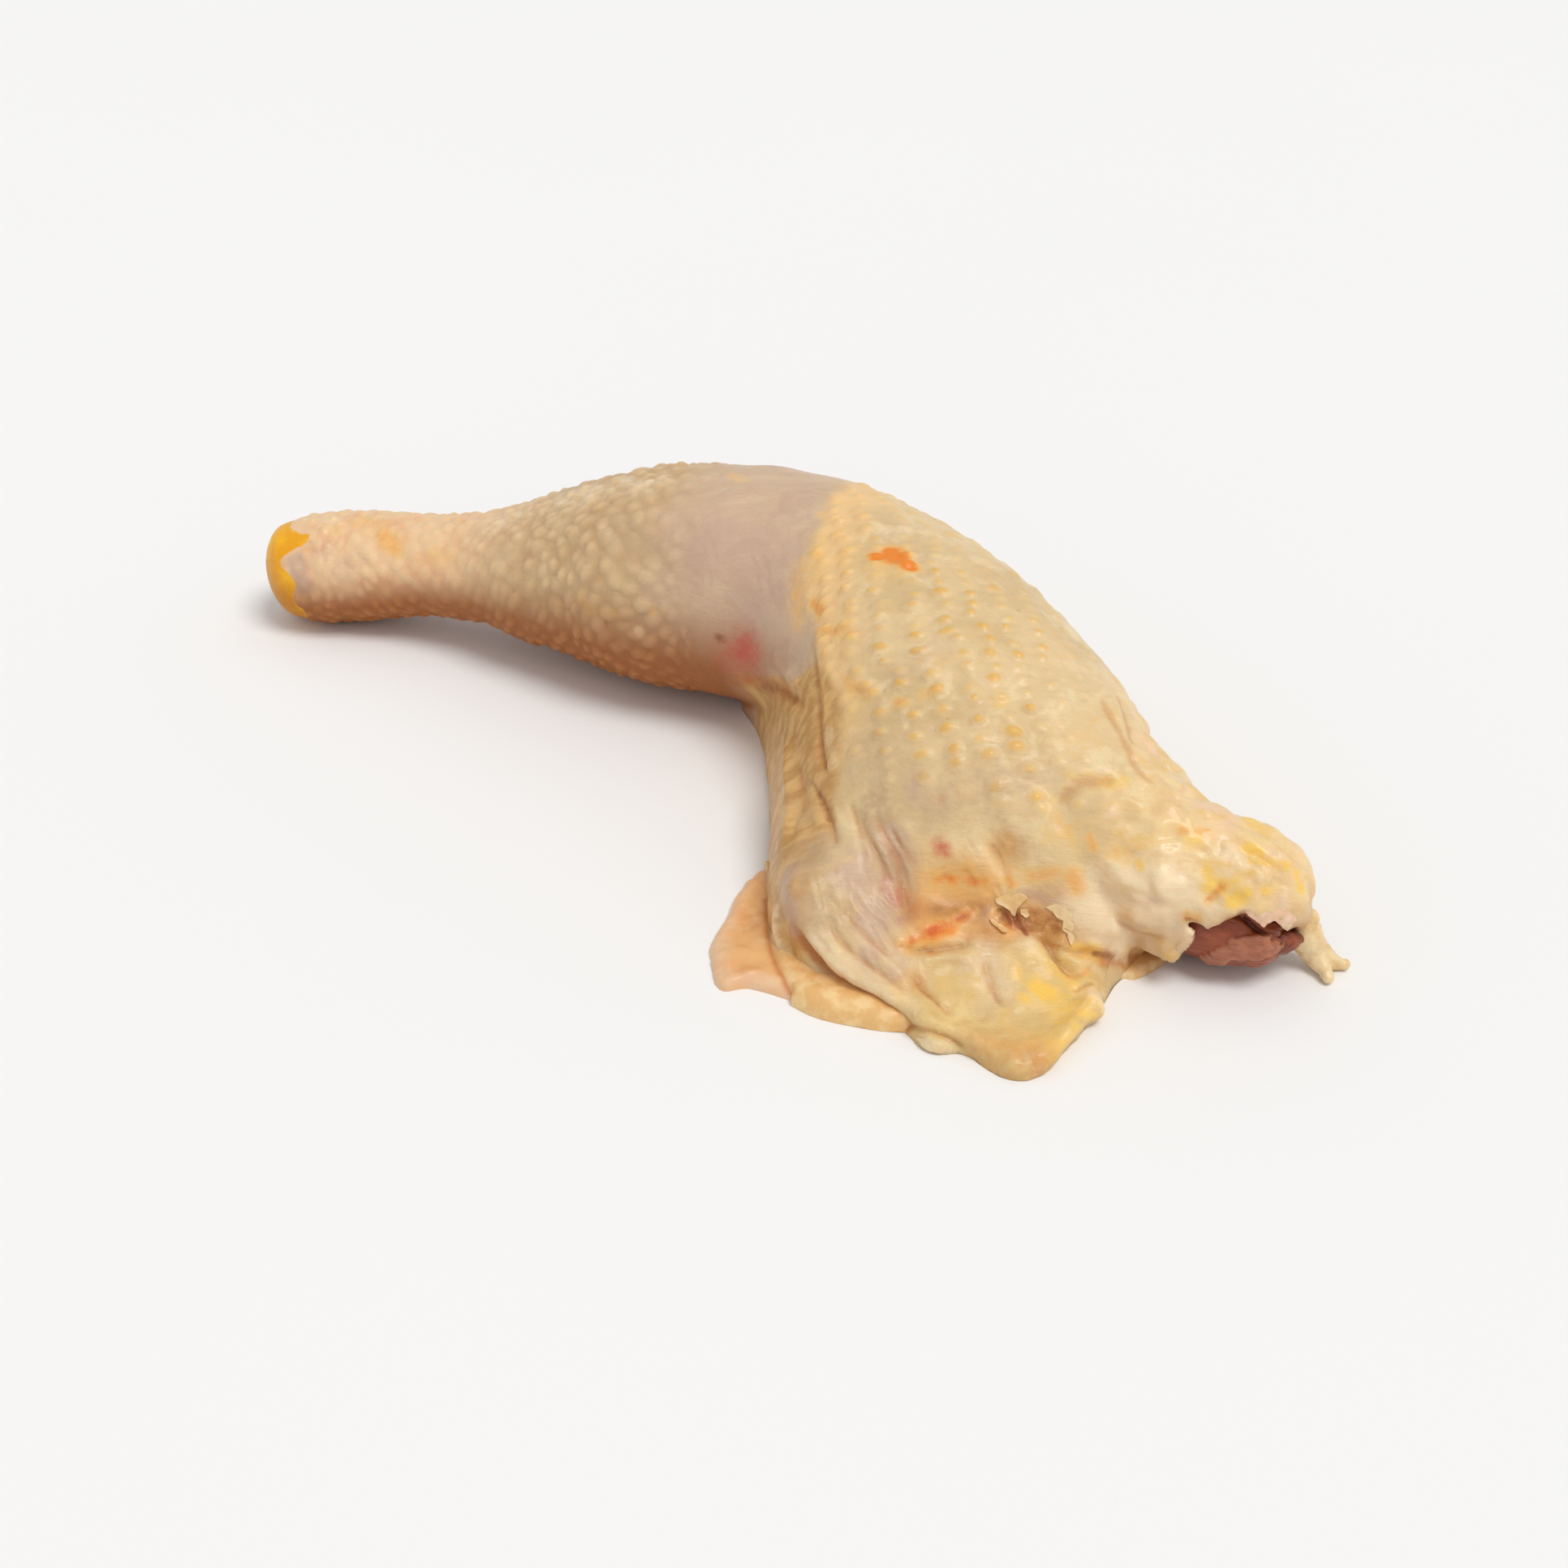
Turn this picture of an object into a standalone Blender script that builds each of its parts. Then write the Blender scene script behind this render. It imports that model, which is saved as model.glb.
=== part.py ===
"""Raw chicken leg quarter lying skin side up: drumstick, knee, thigh and a loose apron of skin.

Run with blender --background --python part.py, or from Blender's text editor. Units are metres, +Z is
up, +X runs from the hock to the cut end of the thigh, and the leg rests on the plane z = 0.
"""

import math

import bmesh
import bpy
import numpy as np

# The tables below are drawn in units of this length, so that one number sets the size of the whole leg.
UNIT = 0.93 * 0.001

# What moves the middle of the whole leg's box onto the origin.
CENTRE_SHIFT = (-3.2, -2.0, 0.0)

# The skin-covered leg along its bone: x, y, z of the middle, half width on the far side, half width on
# the near side, half height.
LEG_STATIONS = [
    (-136.0, 8.5, 13.6, 11.8, 11.8, 12.6),
    (-131.0, 12.0, 14.2, 13.6, 13.6, 13.8),
    (-124.0, 16.0, 15.0, 14.2, 14.2, 14.2),
    (-112.0, 20.0, 16.9, 12.8, 12.8, 13.2),
    (-100.3, 23.0, 18.6, 12.0, 12.0, 12.4),
    (-87.0, 26.0, 20.2, 13.8, 13.8, 13.6),
    (-72.0, 29.0, 22.2, 18.0, 18.0, 17.8),
    (-54.5, 33.0, 25.0, 22.8, 22.8, 22.6),
    (-38.0, 35.5, 27.2, 26.2, 26.2, 26.0),
    (-20.0, 39.5, 28.6, 28.4, 27.6, 27.8),
    (2.0, 40.0, 28.6, 31.0, 27.0, 28.2),
    (26.0, 31.0, 28.2, 33.0, 27.0, 28.4),
    (52.0, 15.0, 27.0, 33.5, 25.0, 27.8),
    (76.0, 4.0, 23.8, 29.5, 22.0, 25.0),
    (97.0, -2.0, 20.3, 22.0, 19.0, 21.2),
    (113.0, -3.5, 17.8, 16.5, 16.8, 18.0),
    (128.0, -2.5, 17.0, 14.5, 13.5, 15.4),
]
LEG_CAPS = (7.0, 15.0)
RING_STEP = 2.0
RING_POINTS = 96
CAP_RINGS = 5
SECTION_POWER = 2.15

# The loose skin on the near side of the thigh, at stations along x: x, y half-way down the slope,
# softness of the slope, height of its top, height at its foot, y of its outer edge, and the radius
# that rounds that edge. Its inner edge runs inside the leg, a step short of the leg's middle line.
APRON_STATIONS = [
    (-14.0, 33.0, 4.0, 30.0, 4.0, 29.0, 6.0),
    (-4.0, 25.0, 4.5, 38.0, 6.0, 21.0, 7.0),
    (8.0, 13.0, 5.0, 46.0, 8.0, 6.5, 8.0),
    (18.0, 2.0, 6.0, 51.0, 9.0, -8.5, 8.0),
    (26.0, -6.0, 7.0, 53.0, 11.0, -23.5, 8.0),
    (34.0, -14.0, 8.5, 54.0, 12.0, -36.5, 7.0),
    (42.0, -20.5, 9.5, 55.0, 12.0, -48.5, 6.0),
    (50.0, -25.5, 10.0, 55.0, 11.0, -53.0, 4.5),
    (60.0, -29.0, 10.0, 55.0, 8.5, -57.5, 4.0),
    (74.0, -31.0, 9.5, 51.0, 6.0, -59.2, 3.0),
    (82.0, -30.0, 8.0, 47.0, 5.0, -60.5, 3.0),
    (88.0, -28.0, 7.0, 43.0, 4.8, -63.5, 3.0),
    (94.0, -26.0, 5.5, 39.0, 4.6, -60.8, 3.0),
    (101.0, -24.0, 4.5, 35.0, 4.4, -62.6, 3.0),
    (107.5, -20.5, 3.5, 29.0, 4.4, -62.2, 3.0),
    (111.0, -18.0, 3.0, 26.0, 4.2, -56.0, 3.0),
    (112.3, -16.0, 3.0, 25.0, 4.2, -46.0, 3.0),
]
APRON_INNER_STEP = 1.0
APRON_STEPS = (120, 90)

# How far the shells reach below the plane that the leg rests on, before they are trimmed flat there.
BELOW_REST = 2.0

# Swellings (positive) and hollows (negative) of the loose skin: x, y, reach along x, reach along y, height.
APRON_SWELLINGS = [
    (52.0, -46.0, 8.0, 9.0, 5.0),
    (76.0, -33.0, 9.0, 7.0, -6.0),
    (88.0, -31.0, 5.0, 4.0, 1.5),
    (98.0, -28.0, 12.0, 3.5, -3.0),
]

# Thin layers that lie flat and peep out from under the loose skin. Each is a fan: a point inside the
# leg, the thickness, and the outer edge.
LAYERS = [
    ((58.0, -36.0), 3.2, [(30.0, -26.0), (27.5, -32.0), (28.5, -42.0), (30.5, -51.0), (34.5, -61.0),
                          (41.5, -68.0), (46.5, -64.5), (55.0, -63.6), (63.0, -64.0), (71.0, -62.6),
                          (79.0, -59.6), (86.0, -56.0)]),
    ((104.0, -4.0), 1.8, [(98.0, -26.0), (108.4, -22.0), (112.0, -21.2), (114.4, -19.8), (116.8, -13.5),
                          (118.0, -6.0)]),
]
LAYER_INNER_SHARE = 0.02
LAYER_ROUND_FROM = 0.88
LAYER_STEPS = (60, 24)

# The dark meat, which runs inside the thigh from the knee to the cut end, where it shows.
MEAT_STATIONS = [
    (14.0, 36.0, 28.4, 24.0, 19.0, 21.0),
    (30.0, 28.5, 28.0, 26.5, 20.0, 22.0),
    (55.0, 13.0, 26.0, 25.5, 18.5, 21.0),
    (80.0, 2.0, 22.0, 20.0, 16.0, 17.0),
    (100.0, -4.0, 18.0, 15.0, 13.5, 13.5),
    (114.0, -5.2, 13.8, 12.5, 10.5, 10.5),
    (126.0, -6.0, 10.6, 10.8, 9.0, 8.6),
    (134.0, -4.6, 10.4, 9.0, 7.8, 7.4),
]
MEAT_CAPS = (9.0, 6.0)
MEAT_RING_STEP = 6.0
MEAT_RING_POINTS = 24

# The opening that the meat looks out of: the middle and the three half sizes of an egg-shaped cut.
MOUTH_MIDDLE = (135.0, -13.8, 9.0)
MOUTH_SIZES = (11.5, 8.0, 11.5)
MOUTH_STEPS = (24, 12)

# The forked strand of fat that hangs down from the cut end: two paths of x, y, z, radius.
STRAND_PATHS = [
    [(143.4, 3.2, 12.0, 1.5), (143.8, 3.4, 8.0, 2.4), (145.2, 3.6, 3.8, 2.6), (147.6, 1.8, 2.1, 1.8),
     (149.0, -0.6, 1.5, 1.2)],
    [(145.2, 3.8, 3.6, 2.4), (147.8, 4.4, 2.2, 1.8), (150.2, 5.4, 1.5, 1.2)],
]
STRAND_STEP = 0.5
STRAND_RING_POINTS = 20

# Clear gap between neighbouring pieces, in metres.
GAP = 0.0003

# How finely each piece is fused, in metres, how many rounds it is softened, and how many triangles it keeps.
SKIN_FUSE = (0.0014, 4, 7000)
STRAND_FUSE = (0.0005, 2, 420)
SOFTENING = 0.5


def curve_through(stations, spots):
    """Values at the given spots of smooth curves through the stations, whose first column is the place."""
    table = np.array(stations, float)
    knots, values = table[:, 0], table[:, 1:]
    spots = np.clip(spots, knots[0], knots[-1])
    slopes = np.empty_like(values)
    slopes[1:-1] = (values[2:] - values[:-2]) / (knots[2:] - knots[:-2])[:, None]
    slopes[0] = (values[1] - values[0]) / (knots[1] - knots[0])
    slopes[-1] = (values[-1] - values[-2]) / (knots[-1] - knots[-2])
    index = np.clip(np.searchsorted(knots, spots, side="right") - 1, 0, len(knots) - 2)
    width = (knots[index + 1] - knots[index])[:, None]
    t = ((spots - knots[index]) / width[:, 0])[:, None]
    return (
        (1 + 2 * t) * (1 - t) ** 2 * values[index]
        + t * (1 - t) ** 2 * width * slopes[index]
        + t * t * (3 - 2 * t) * values[index + 1]
        + t * t * (t - 1) * width * slopes[index + 1]
    )


def along_path(stations, step):
    """Rows of the smooth path through the stations at even steps, and the direction of the path at each."""
    table = np.array(stations, float)
    lengths = np.linalg.norm(np.diff(table[:, :3], axis=0), axis=1)
    along = np.concatenate([[0], np.cumsum(lengths)])
    count = max(int(along[-1] / step), 3)
    rows = curve_through(np.column_stack([along, table]), np.linspace(0, along[-1], count))
    tangents = np.gradient(rows[:, :3], axis=0)
    return rows, tangents / np.linalg.norm(tangents, axis=1)[:, None]


def ring_points(middle, tangent, sizes, count):
    """A ring square to the tangent: a superellipse of a far half width, near half width and half height."""
    side = np.cross((0, 0, 1), tangent)
    side /= np.linalg.norm(side)
    up = np.cross(tangent, side)
    angle = np.linspace(0, 2 * math.pi, count, endpoint=False)
    c, s = np.cos(angle), np.sin(angle)
    power = 2 / SECTION_POWER
    far, near, half_height = sizes
    across = np.sign(c) * np.abs(c) ** power * np.where(c > 0, far, near)
    upward = np.sign(s) * np.abs(s) ** power * half_height
    return middle + across[:, None] * side + upward[:, None] * up


def tube(stations, caps, step, count, swell=0.0):
    """Points and faces of a closed tube through the stations, with a rounded cap at each end.

    The tube is larger all round by swell, in drawing units.
    """
    rows, tangents = along_path(stations, step)
    middles, sizes = rows[:, :3], rows[:, 3:] + swell
    rings = []
    turns = [np.linspace(0, math.pi / 2, int(cap / step) + CAP_RINGS)[1:-1] for cap in caps]
    for turn in turns[0]:
        middle = middles[0] - tangents[0] * (caps[0] + swell) * math.cos(turn)
        rings.append(ring_points(middle, tangents[0], sizes[0] * math.sin(turn), count))
    for middle, tangent, size in zip(middles, tangents, sizes):
        rings.append(ring_points(middle, tangent, size, count))
    for turn in turns[1][::-1]:
        middle = middles[-1] + tangents[-1] * (caps[1] + swell) * math.cos(turn)
        rings.append(ring_points(middle, tangents[-1], sizes[-1] * math.sin(turn), count))
    tips = [middles[0] - tangents[0] * (caps[0] + swell), middles[-1] + tangents[-1] * (caps[1] + swell)]
    return stack_of_rings(np.array(rings), tips)


def stack_of_rings(rings, tips):
    """Points and faces of the closed surface over a stack of rings, each end closed by a fan to its tip."""
    rows, columns = rings.shape[:2]
    index = np.arange(rows * columns).reshape(rows, columns)
    after = np.roll(index, -1, axis=1)
    faces = [tuple(q) for q in np.stack([index[:-1], after[:-1], after[1:], index[1:]], -1).reshape(-1, 4)]
    first, last = rows * columns, rows * columns + 1
    faces += [(first, b, a) for a, b in zip(index[0], after[0])]
    faces += [(last, a, b) for a, b in zip(index[-1], after[-1])]
    return np.concatenate([rings.reshape(-1, 3), np.array(tips)]), faces


def egg(middle, sizes):
    """Points and faces of an ellipsoid."""
    around, down = MOUTH_STEPS
    tilt = np.linspace(0, math.pi, down + 1)[1:-1, None]
    turn = np.linspace(0, 2 * math.pi, around, endpoint=False)[None, :]
    shape = np.stack([np.sin(tilt) * np.cos(turn), np.sin(tilt) * np.sin(turn), np.cos(tilt) + 0 * turn], -1)
    rings = np.array(middle) + shape * np.array(sizes)
    tips = [np.array(middle) + np.array((0, 0, z)) * sizes[2] for z in (1, -1)]
    return stack_of_rings(rings, tips)


def block_under(top):
    """Points and faces of the closed block between a grid of top points and a flat floor below z = 0."""
    across, out = top.shape[:2]
    under = top.copy()
    under[:, :, 2] = -BELOW_REST
    index = np.arange(across * out).reshape(across, out)
    below = index + across * out
    quads = [
        np.stack([index[:-1, :-1], index[:-1, 1:], index[1:, 1:], index[1:, :-1]], -1).reshape(-1, 4),
        np.stack([below[:-1, :-1], below[1:, :-1], below[1:, 1:], below[:-1, 1:]], -1).reshape(-1, 4),
    ]
    rim = np.concatenate([index[:, 0], index[-1, 1:], index[-2::-1, -1], index[0, -2:0:-1]])
    after = np.roll(rim, -1)
    quads.append(np.stack([rim, after, after + across * out, rim + across * out], -1))
    faces = [tuple(q) for q in np.concatenate(quads)]
    return np.concatenate([top.reshape(-1, 3), under.reshape(-1, 3)]), faces


def apron_block():
    """The loose skin: a soft slope down from the thigh, rounded at its edge, with its swellings."""
    across, out = APRON_STEPS
    xs = np.linspace(APRON_STATIONS[0][0], APRON_STATIONS[-1][0], across)
    columns = curve_through(APRON_STATIONS, xs).T[:, :, None]
    middle, softness, top, foot, edge, radius = columns
    share = np.sin(np.linspace(0, 1, out) * math.pi / 2)[None, :]
    x = np.repeat(xs[:, None], out, axis=1)
    inner = curve_through(LEG_STATIONS, xs)[:, :1] - APRON_INNER_STEP
    y = inner + (edge - inner) * share
    slope = foot + (top - foot) / (1 + np.exp(-(y - middle) / softness))
    for at_x, at_y, reach_x, reach_y, height in APRON_SWELLINGS:
        slope = slope + height * np.exp(-(((x - at_x) / reach_x) ** 2) - ((y - at_y) / reach_y) ** 2)
    inside = np.clip((y - edge) / radius, 0, 1)
    return block_under(np.stack([x, y, slope * np.sqrt(1 - (1 - inside) ** 2)], -1))


def layer_block(inner, thickness, edge):
    """A thin layer: a fan from the inner point to the smooth outer edge, rounded there."""
    around, out = LAYER_STEPS
    spots = np.arange(len(edge))
    outline = curve_through(np.column_stack([spots, edge]), np.linspace(0, len(edge) - 1, around))
    share = np.sin(np.linspace(LAYER_INNER_SHARE, 1, out) * math.pi / 2)
    flat = np.array(inner) + (outline[:, None, :] - np.array(inner)) * share[None, :, None]
    inside = np.clip((1 - share) / (1 - LAYER_ROUND_FROM), 0, 1)
    height = thickness * np.sqrt(1 - (1 - inside) ** 2)
    return block_under(np.dstack([flat, np.repeat(height[None, :], around, axis=0)]))


def plain_material(name, colour, roughness):
    """A Principled BSDF with one colour and roughness."""
    material = bpy.data.materials.new(name)
    material.use_nodes = True
    shader = material.node_tree.nodes["Principled BSDF"]
    shader.inputs["Base Color"].default_value = (*colour, 1)
    shader.inputs["Roughness"].default_value = roughness
    shader.inputs["Metallic"].default_value = 0
    return material


def new_object(name, shells, material):
    """A mesh object of one or more closed shells, each given as points in drawing units and faces."""
    work = bmesh.new()
    for points, faces in shells:
        placed = (np.asarray(points) + CENTRE_SHIFT) * UNIT
        verts = [work.verts.new(p) for p in placed.tolist()]
        for face in faces:
            work.faces.new([verts[i] for i in face])
    bmesh.ops.recalc_face_normals(work, faces=work.faces)
    mesh = bpy.data.meshes.new(name)
    work.to_mesh(mesh)
    work.free()
    obj = bpy.data.objects.new(name, mesh)
    bpy.context.scene.collection.objects.link(obj)
    mesh.materials.append(material)
    return obj


def apply_modifiers(obj):
    """Replaces the object's mesh with the one that its modifiers make."""
    graph = bpy.context.evaluated_depsgraph_get()
    made = bpy.data.meshes.new_from_object(obj.evaluated_get(graph))
    obj.modifiers.clear()
    obj.data = made


def fuse(obj, voxel, rounds, triangles):
    """Fuses the object's overlapping shells into one skin, softens it and thins it to so many triangles."""
    remesh = obj.modifiers.new("fuse", "REMESH")
    remesh.mode = "VOXEL"
    remesh.voxel_size = voxel
    soften = obj.modifiers.new("soften", "SMOOTH")
    soften.factor = SOFTENING
    soften.iterations = rounds
    apply_modifiers(obj)
    thin = obj.modifiers.new("thin", "DECIMATE")
    thin.ratio = min(1.0, triangles / sum(len(p.vertices) - 2 for p in obj.data.polygons))
    apply_modifiers(obj)


def trim_flat(obj):
    """Cuts off what is below z = 0 and closes the cut with a flat face."""
    work = bmesh.new()
    work.from_mesh(obj.data)
    whole = work.verts[:] + work.edges[:] + work.faces[:]
    cut = bmesh.ops.bisect_plane(
        work, geom=whole, dist=1e-6, plane_co=(0, 0, 0), plane_no=(0, 0, 1), clear_inner=True
    )
    edges = [g for g in cut["geom_cut"] if isinstance(g, bmesh.types.BMEdge)]
    bmesh.ops.triangle_fill(work, edges=edges, use_beauty=True, normal=(0, 0, -1))
    bmesh.ops.recalc_face_normals(work, faces=work.faces)
    work.to_mesh(obj.data)
    work.free()


def cut_away(obj, cutter):
    """Takes the cutter's space out of the object, and removes the cutter."""
    cut = obj.modifiers.new("cut", "BOOLEAN")
    cut.operation = "DIFFERENCE"
    cut.solver = "EXACT"
    cut.object = cutter
    apply_modifiers(obj)
    bpy.data.objects.remove(cutter)


def make_quarter(skin):
    """The skin-covered leg with its loose apron and layers, hollowed for the meat."""
    shells = [tube(LEG_STATIONS, LEG_CAPS, RING_STEP, RING_POINTS), apron_block()]
    shells += [layer_block(*layer) for layer in LAYERS]
    quarter = new_object("leg_quarter", shells, skin)
    fuse(quarter, *SKIN_FUSE)
    trim_flat(quarter)
    pocket = tube(MEAT_STATIONS, MEAT_CAPS, MEAT_RING_STEP, MEAT_RING_POINTS, GAP / UNIT)
    cut_away(quarter, new_object("pocket", [pocket], skin))
    cut_away(quarter, new_object("mouth", [egg(MOUTH_MIDDLE, MOUTH_SIZES)], skin))
    quarter.data.shade_smooth()


def make_meat(meat):
    """The dark meat, one closed lump."""
    shape = tube(MEAT_STATIONS, MEAT_CAPS, MEAT_RING_STEP, MEAT_RING_POINTS)
    new_object("thigh_meat", [shape], meat).data.shade_smooth()


def make_strand(fat):
    """The forked strand of fat, two tubes fused into one."""
    shells = []
    for path in STRAND_PATHS:
        stations = [(x, y, z, r, r, r) for x, y, z, r in path]
        shells.append(tube(stations, (path[0][3], path[-1][3]), STRAND_STEP, STRAND_RING_POINTS))
    strand = new_object("fat_strand", shells, fat)
    fuse(strand, *STRAND_FUSE)
    strand.data.shade_smooth()


def main():
    for old in list(bpy.data.objects):
        bpy.data.objects.remove(old)
    make_quarter(plain_material("skin", (0.80, 0.62, 0.38), 0.45))
    make_meat(plain_material("meat", (0.42, 0.12, 0.09), 0.35))
    make_strand(plain_material("fat", (0.85, 0.76, 0.50), 0.4))


main()
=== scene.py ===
"""Looks of the raw chicken leg quarter: pimpled skin, torn fatty cut end, dark meat, strand of fat.

Shapes are drawn in the same units as the solid: one unit is UNIT metres, and CENTRE_SHIFT moves the
middle of the whole leg's box onto the origin. +X runs from the hock to the cut end, +Y away from the
loose skin, +Z up, and the leg rests on z = 0.
"""

import itertools
import math

import bmesh
import bpy
import numpy as np
from mathutils import Matrix
from mathutils.bvhtree import BVHTree


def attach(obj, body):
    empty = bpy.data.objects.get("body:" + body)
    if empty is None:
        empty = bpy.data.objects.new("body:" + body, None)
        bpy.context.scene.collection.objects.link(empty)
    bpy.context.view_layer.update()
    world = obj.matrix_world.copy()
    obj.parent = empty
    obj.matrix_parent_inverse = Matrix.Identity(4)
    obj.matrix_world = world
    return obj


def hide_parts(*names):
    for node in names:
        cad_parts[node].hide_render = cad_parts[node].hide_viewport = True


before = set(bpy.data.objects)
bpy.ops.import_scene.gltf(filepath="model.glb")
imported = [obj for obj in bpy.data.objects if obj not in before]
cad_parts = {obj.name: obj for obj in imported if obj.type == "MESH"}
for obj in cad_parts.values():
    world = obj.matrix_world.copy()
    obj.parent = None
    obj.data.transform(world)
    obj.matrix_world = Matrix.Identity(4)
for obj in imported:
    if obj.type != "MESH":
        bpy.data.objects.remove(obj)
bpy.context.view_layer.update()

UNIT = 0.93 * 0.001
CENTRE_SHIFT = np.array((-3.2, -2.0, 0.0))

# The skin-covered leg along its bone: x, y, z of the middle, half width on the far side, half width on
# the near side, half height.
LEG_STATIONS = [
    (-136.0, 8.5, 13.6, 11.8, 11.8, 12.6),
    (-131.0, 12.0, 14.2, 13.6, 13.6, 13.8),
    (-124.0, 16.0, 15.0, 14.2, 14.2, 14.2),
    (-112.0, 20.0, 16.9, 12.8, 12.8, 13.2),
    (-100.3, 23.0, 18.6, 12.0, 12.0, 12.4),
    (-87.0, 26.0, 20.2, 13.8, 13.8, 13.6),
    (-72.0, 29.0, 22.2, 18.0, 18.0, 17.8),
    (-54.5, 33.0, 25.0, 22.8, 22.8, 22.6),
    (-38.0, 35.5, 27.2, 26.2, 26.2, 26.0),
    (-20.0, 39.5, 28.6, 28.4, 27.6, 27.8),
    (2.0, 40.0, 28.6, 31.0, 27.0, 28.2),
    (26.0, 31.0, 28.2, 33.0, 27.0, 28.4),
    (52.0, 15.0, 27.0, 33.5, 25.0, 27.8),
    (76.0, 4.0, 23.8, 29.5, 22.0, 25.0),
    (97.0, -2.0, 20.3, 22.0, 19.0, 21.2),
    (113.0, -3.5, 17.8, 16.5, 16.8, 18.0),
    (128.0, -2.5, 17.0, 14.5, 13.5, 15.4),
]
LEG_CAPS = (7.0, 15.0)
LEG_RING_STEP = 1.0
LEG_RING_POINTS = 160
CAP_RINGS = 5
SECTION_POWER = 2.15

# The loose skin on the near side of the thigh, at stations along x: x, y half-way down the slope,
# softness of the slope, height of its top, height at its foot, y of its outer edge, and the radius
# that rounds that edge. Its inner edge runs inside the leg, a step short of the leg's middle line.
APRON_STATIONS = [
    (-14.0, 33.0, 4.0, 30.0, 4.0, 29.0, 6.0),
    (-4.0, 25.0, 4.5, 38.0, 6.0, 21.0, 7.0),
    (8.0, 13.0, 5.0, 46.0, 8.0, 6.5, 8.0),
    (18.0, 2.0, 6.0, 51.0, 9.0, -8.5, 8.0),
    (26.0, -6.0, 7.0, 53.0, 11.0, -23.5, 8.0),
    (34.0, -14.0, 8.5, 54.0, 12.0, -36.5, 7.0),
    (42.0, -20.5, 9.5, 55.0, 12.0, -48.5, 6.0),
    (50.0, -25.5, 10.0, 55.0, 11.0, -53.0, 4.5),
    (60.0, -29.0, 10.0, 55.0, 8.5, -57.5, 4.0),
    (74.0, -31.0, 9.5, 51.0, 6.0, -59.2, 3.0),
    (82.0, -30.0, 8.0, 47.0, 5.0, -60.5, 3.0),
    (88.0, -28.0, 7.0, 43.0, 4.8, -63.5, 3.0),
    (94.0, -26.0, 5.5, 39.0, 4.6, -60.8, 3.0),
    (101.0, -24.0, 4.5, 35.0, 4.4, -62.6, 3.0),
    (107.5, -20.5, 3.5, 29.0, 4.4, -62.2, 3.0),
    (111.0, -18.0, 3.0, 26.0, 4.2, -56.0, 3.0),
    (112.3, -16.0, 3.0, 25.0, 4.2, -46.0, 3.0),
]
APRON_INNER_STEP = 1.0
APRON_STEPS = (220, 160)
BELOW_REST = 2.0

# Swellings (positive) and hollows (negative) of the loose skin: x, y, reach along x, reach along y, height.
APRON_SWELLINGS = [
    (52.0, -46.0, 8.0, 9.0, 5.0),
    (76.0, -33.0, 9.0, 7.0, -6.0),
    (88.0, -31.0, 5.0, 4.0, 1.5),
    (98.0, -28.0, 12.0, 3.5, -3.0),
]

# Thin layers that lie flat and peep out from under the loose skin. Each is a fan: its name, a point
# inside the leg, the thickness, and the outer edge.
LAYERS = [
    ("lower_skin", (58.0, -36.0), 3.2,
     [(30.0, -26.0), (27.5, -32.0), (28.5, -42.0), (30.5, -51.0), (34.5, -61.0), (41.5, -68.0),
      (46.5, -64.5), (55.0, -63.6), (63.0, -64.0), (71.0, -62.6), (79.0, -59.6), (86.0, -56.0)]),
    ("end_skin", (104.0, -4.0), 1.8,
     [(98.0, -26.0), (108.4, -22.0), (112.0, -21.2), (114.4, -19.8), (116.8, -13.5), (118.0, -6.0)]),
]
LAYER_INNER_SHARE = 0.02
LAYER_ROUND_FROM = 0.88
LAYER_STEPS = (420, 110)

# Where the rolled hem lies over the smooth lower layer, in pixels of the photo, and how high it stands.
HEM_PATH = [(938, 1070), (946, 1110), (949, 1156), (959, 1190), (975, 1222), (992, 1250)]
HEM_HIGH = 2.3

# The dark meat, which runs inside the thigh from the knee to the cut end, where it shows.
MEAT_STATIONS = [
    (14.0, 36.0, 28.4, 24.0, 19.0, 21.0),
    (30.0, 28.5, 28.0, 26.5, 20.0, 22.0),
    (55.0, 13.0, 26.0, 25.5, 18.5, 21.0),
    (80.0, 2.0, 22.0, 20.0, 16.0, 17.0),
    (100.0, -4.0, 18.0, 15.0, 13.5, 13.5),
    (114.0, -5.2, 13.8, 12.5, 10.5, 10.5),
    (126.0, -6.0, 10.6, 10.8, 9.0, 8.6),
    (134.0, -4.6, 10.4, 9.0, 7.8, 7.4),
]
MEAT_CAPS = (9.0, 6.0)
MEAT_RING_STEP = 0.6
MEAT_RING_POINTS = 200
POCKET_RING_STEP = 6.0
POCKET_RING_POINTS = 24

# The opening that the meat looks out of: its outline in pixels of the photo, how far it is cut in front
# of and behind the skin at its middle, the hollow behind the lips, and the pocket for the meat.
MOUTH_OUTLINE = [
    (1460, 1133), (1466, 1137), (1471, 1136), (1478, 1139), (1485, 1144), (1489, 1147), (1494, 1142),
    (1502, 1138), (1510, 1132), (1519, 1128), (1527, 1125), (1534, 1124), (1541, 1127), (1548, 1133),
    (1552, 1138), (1557, 1141), (1562, 1138), (1566, 1133), (1574, 1132), (1577, 1139), (1581, 1146),
    (1586, 1148), (1591, 1144), (1596, 1137), (1602, 1142), (1606, 1158), (1610, 1176), (1600, 1200),
    (1540, 1218), (1460, 1212), (1448, 1196), (1453, 1186), (1455, 1179), (1458, 1175), (1468, 1172),
    (1478, 1166), (1482, 1157), (1478, 1149), (1468, 1146), (1463, 1139),
]
MOUTH_MIDDLE = (1530, 1150)
MOUTH_DEPTHS = (-26.0, 11.0)
LIP_HOLLOW_FROM = 117.0
LIP_HOLLOW_CAP = 3.0
LIP_HOLLOW_STEP = 1.0
LIP_HOLLOW_POINTS = 80
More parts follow.
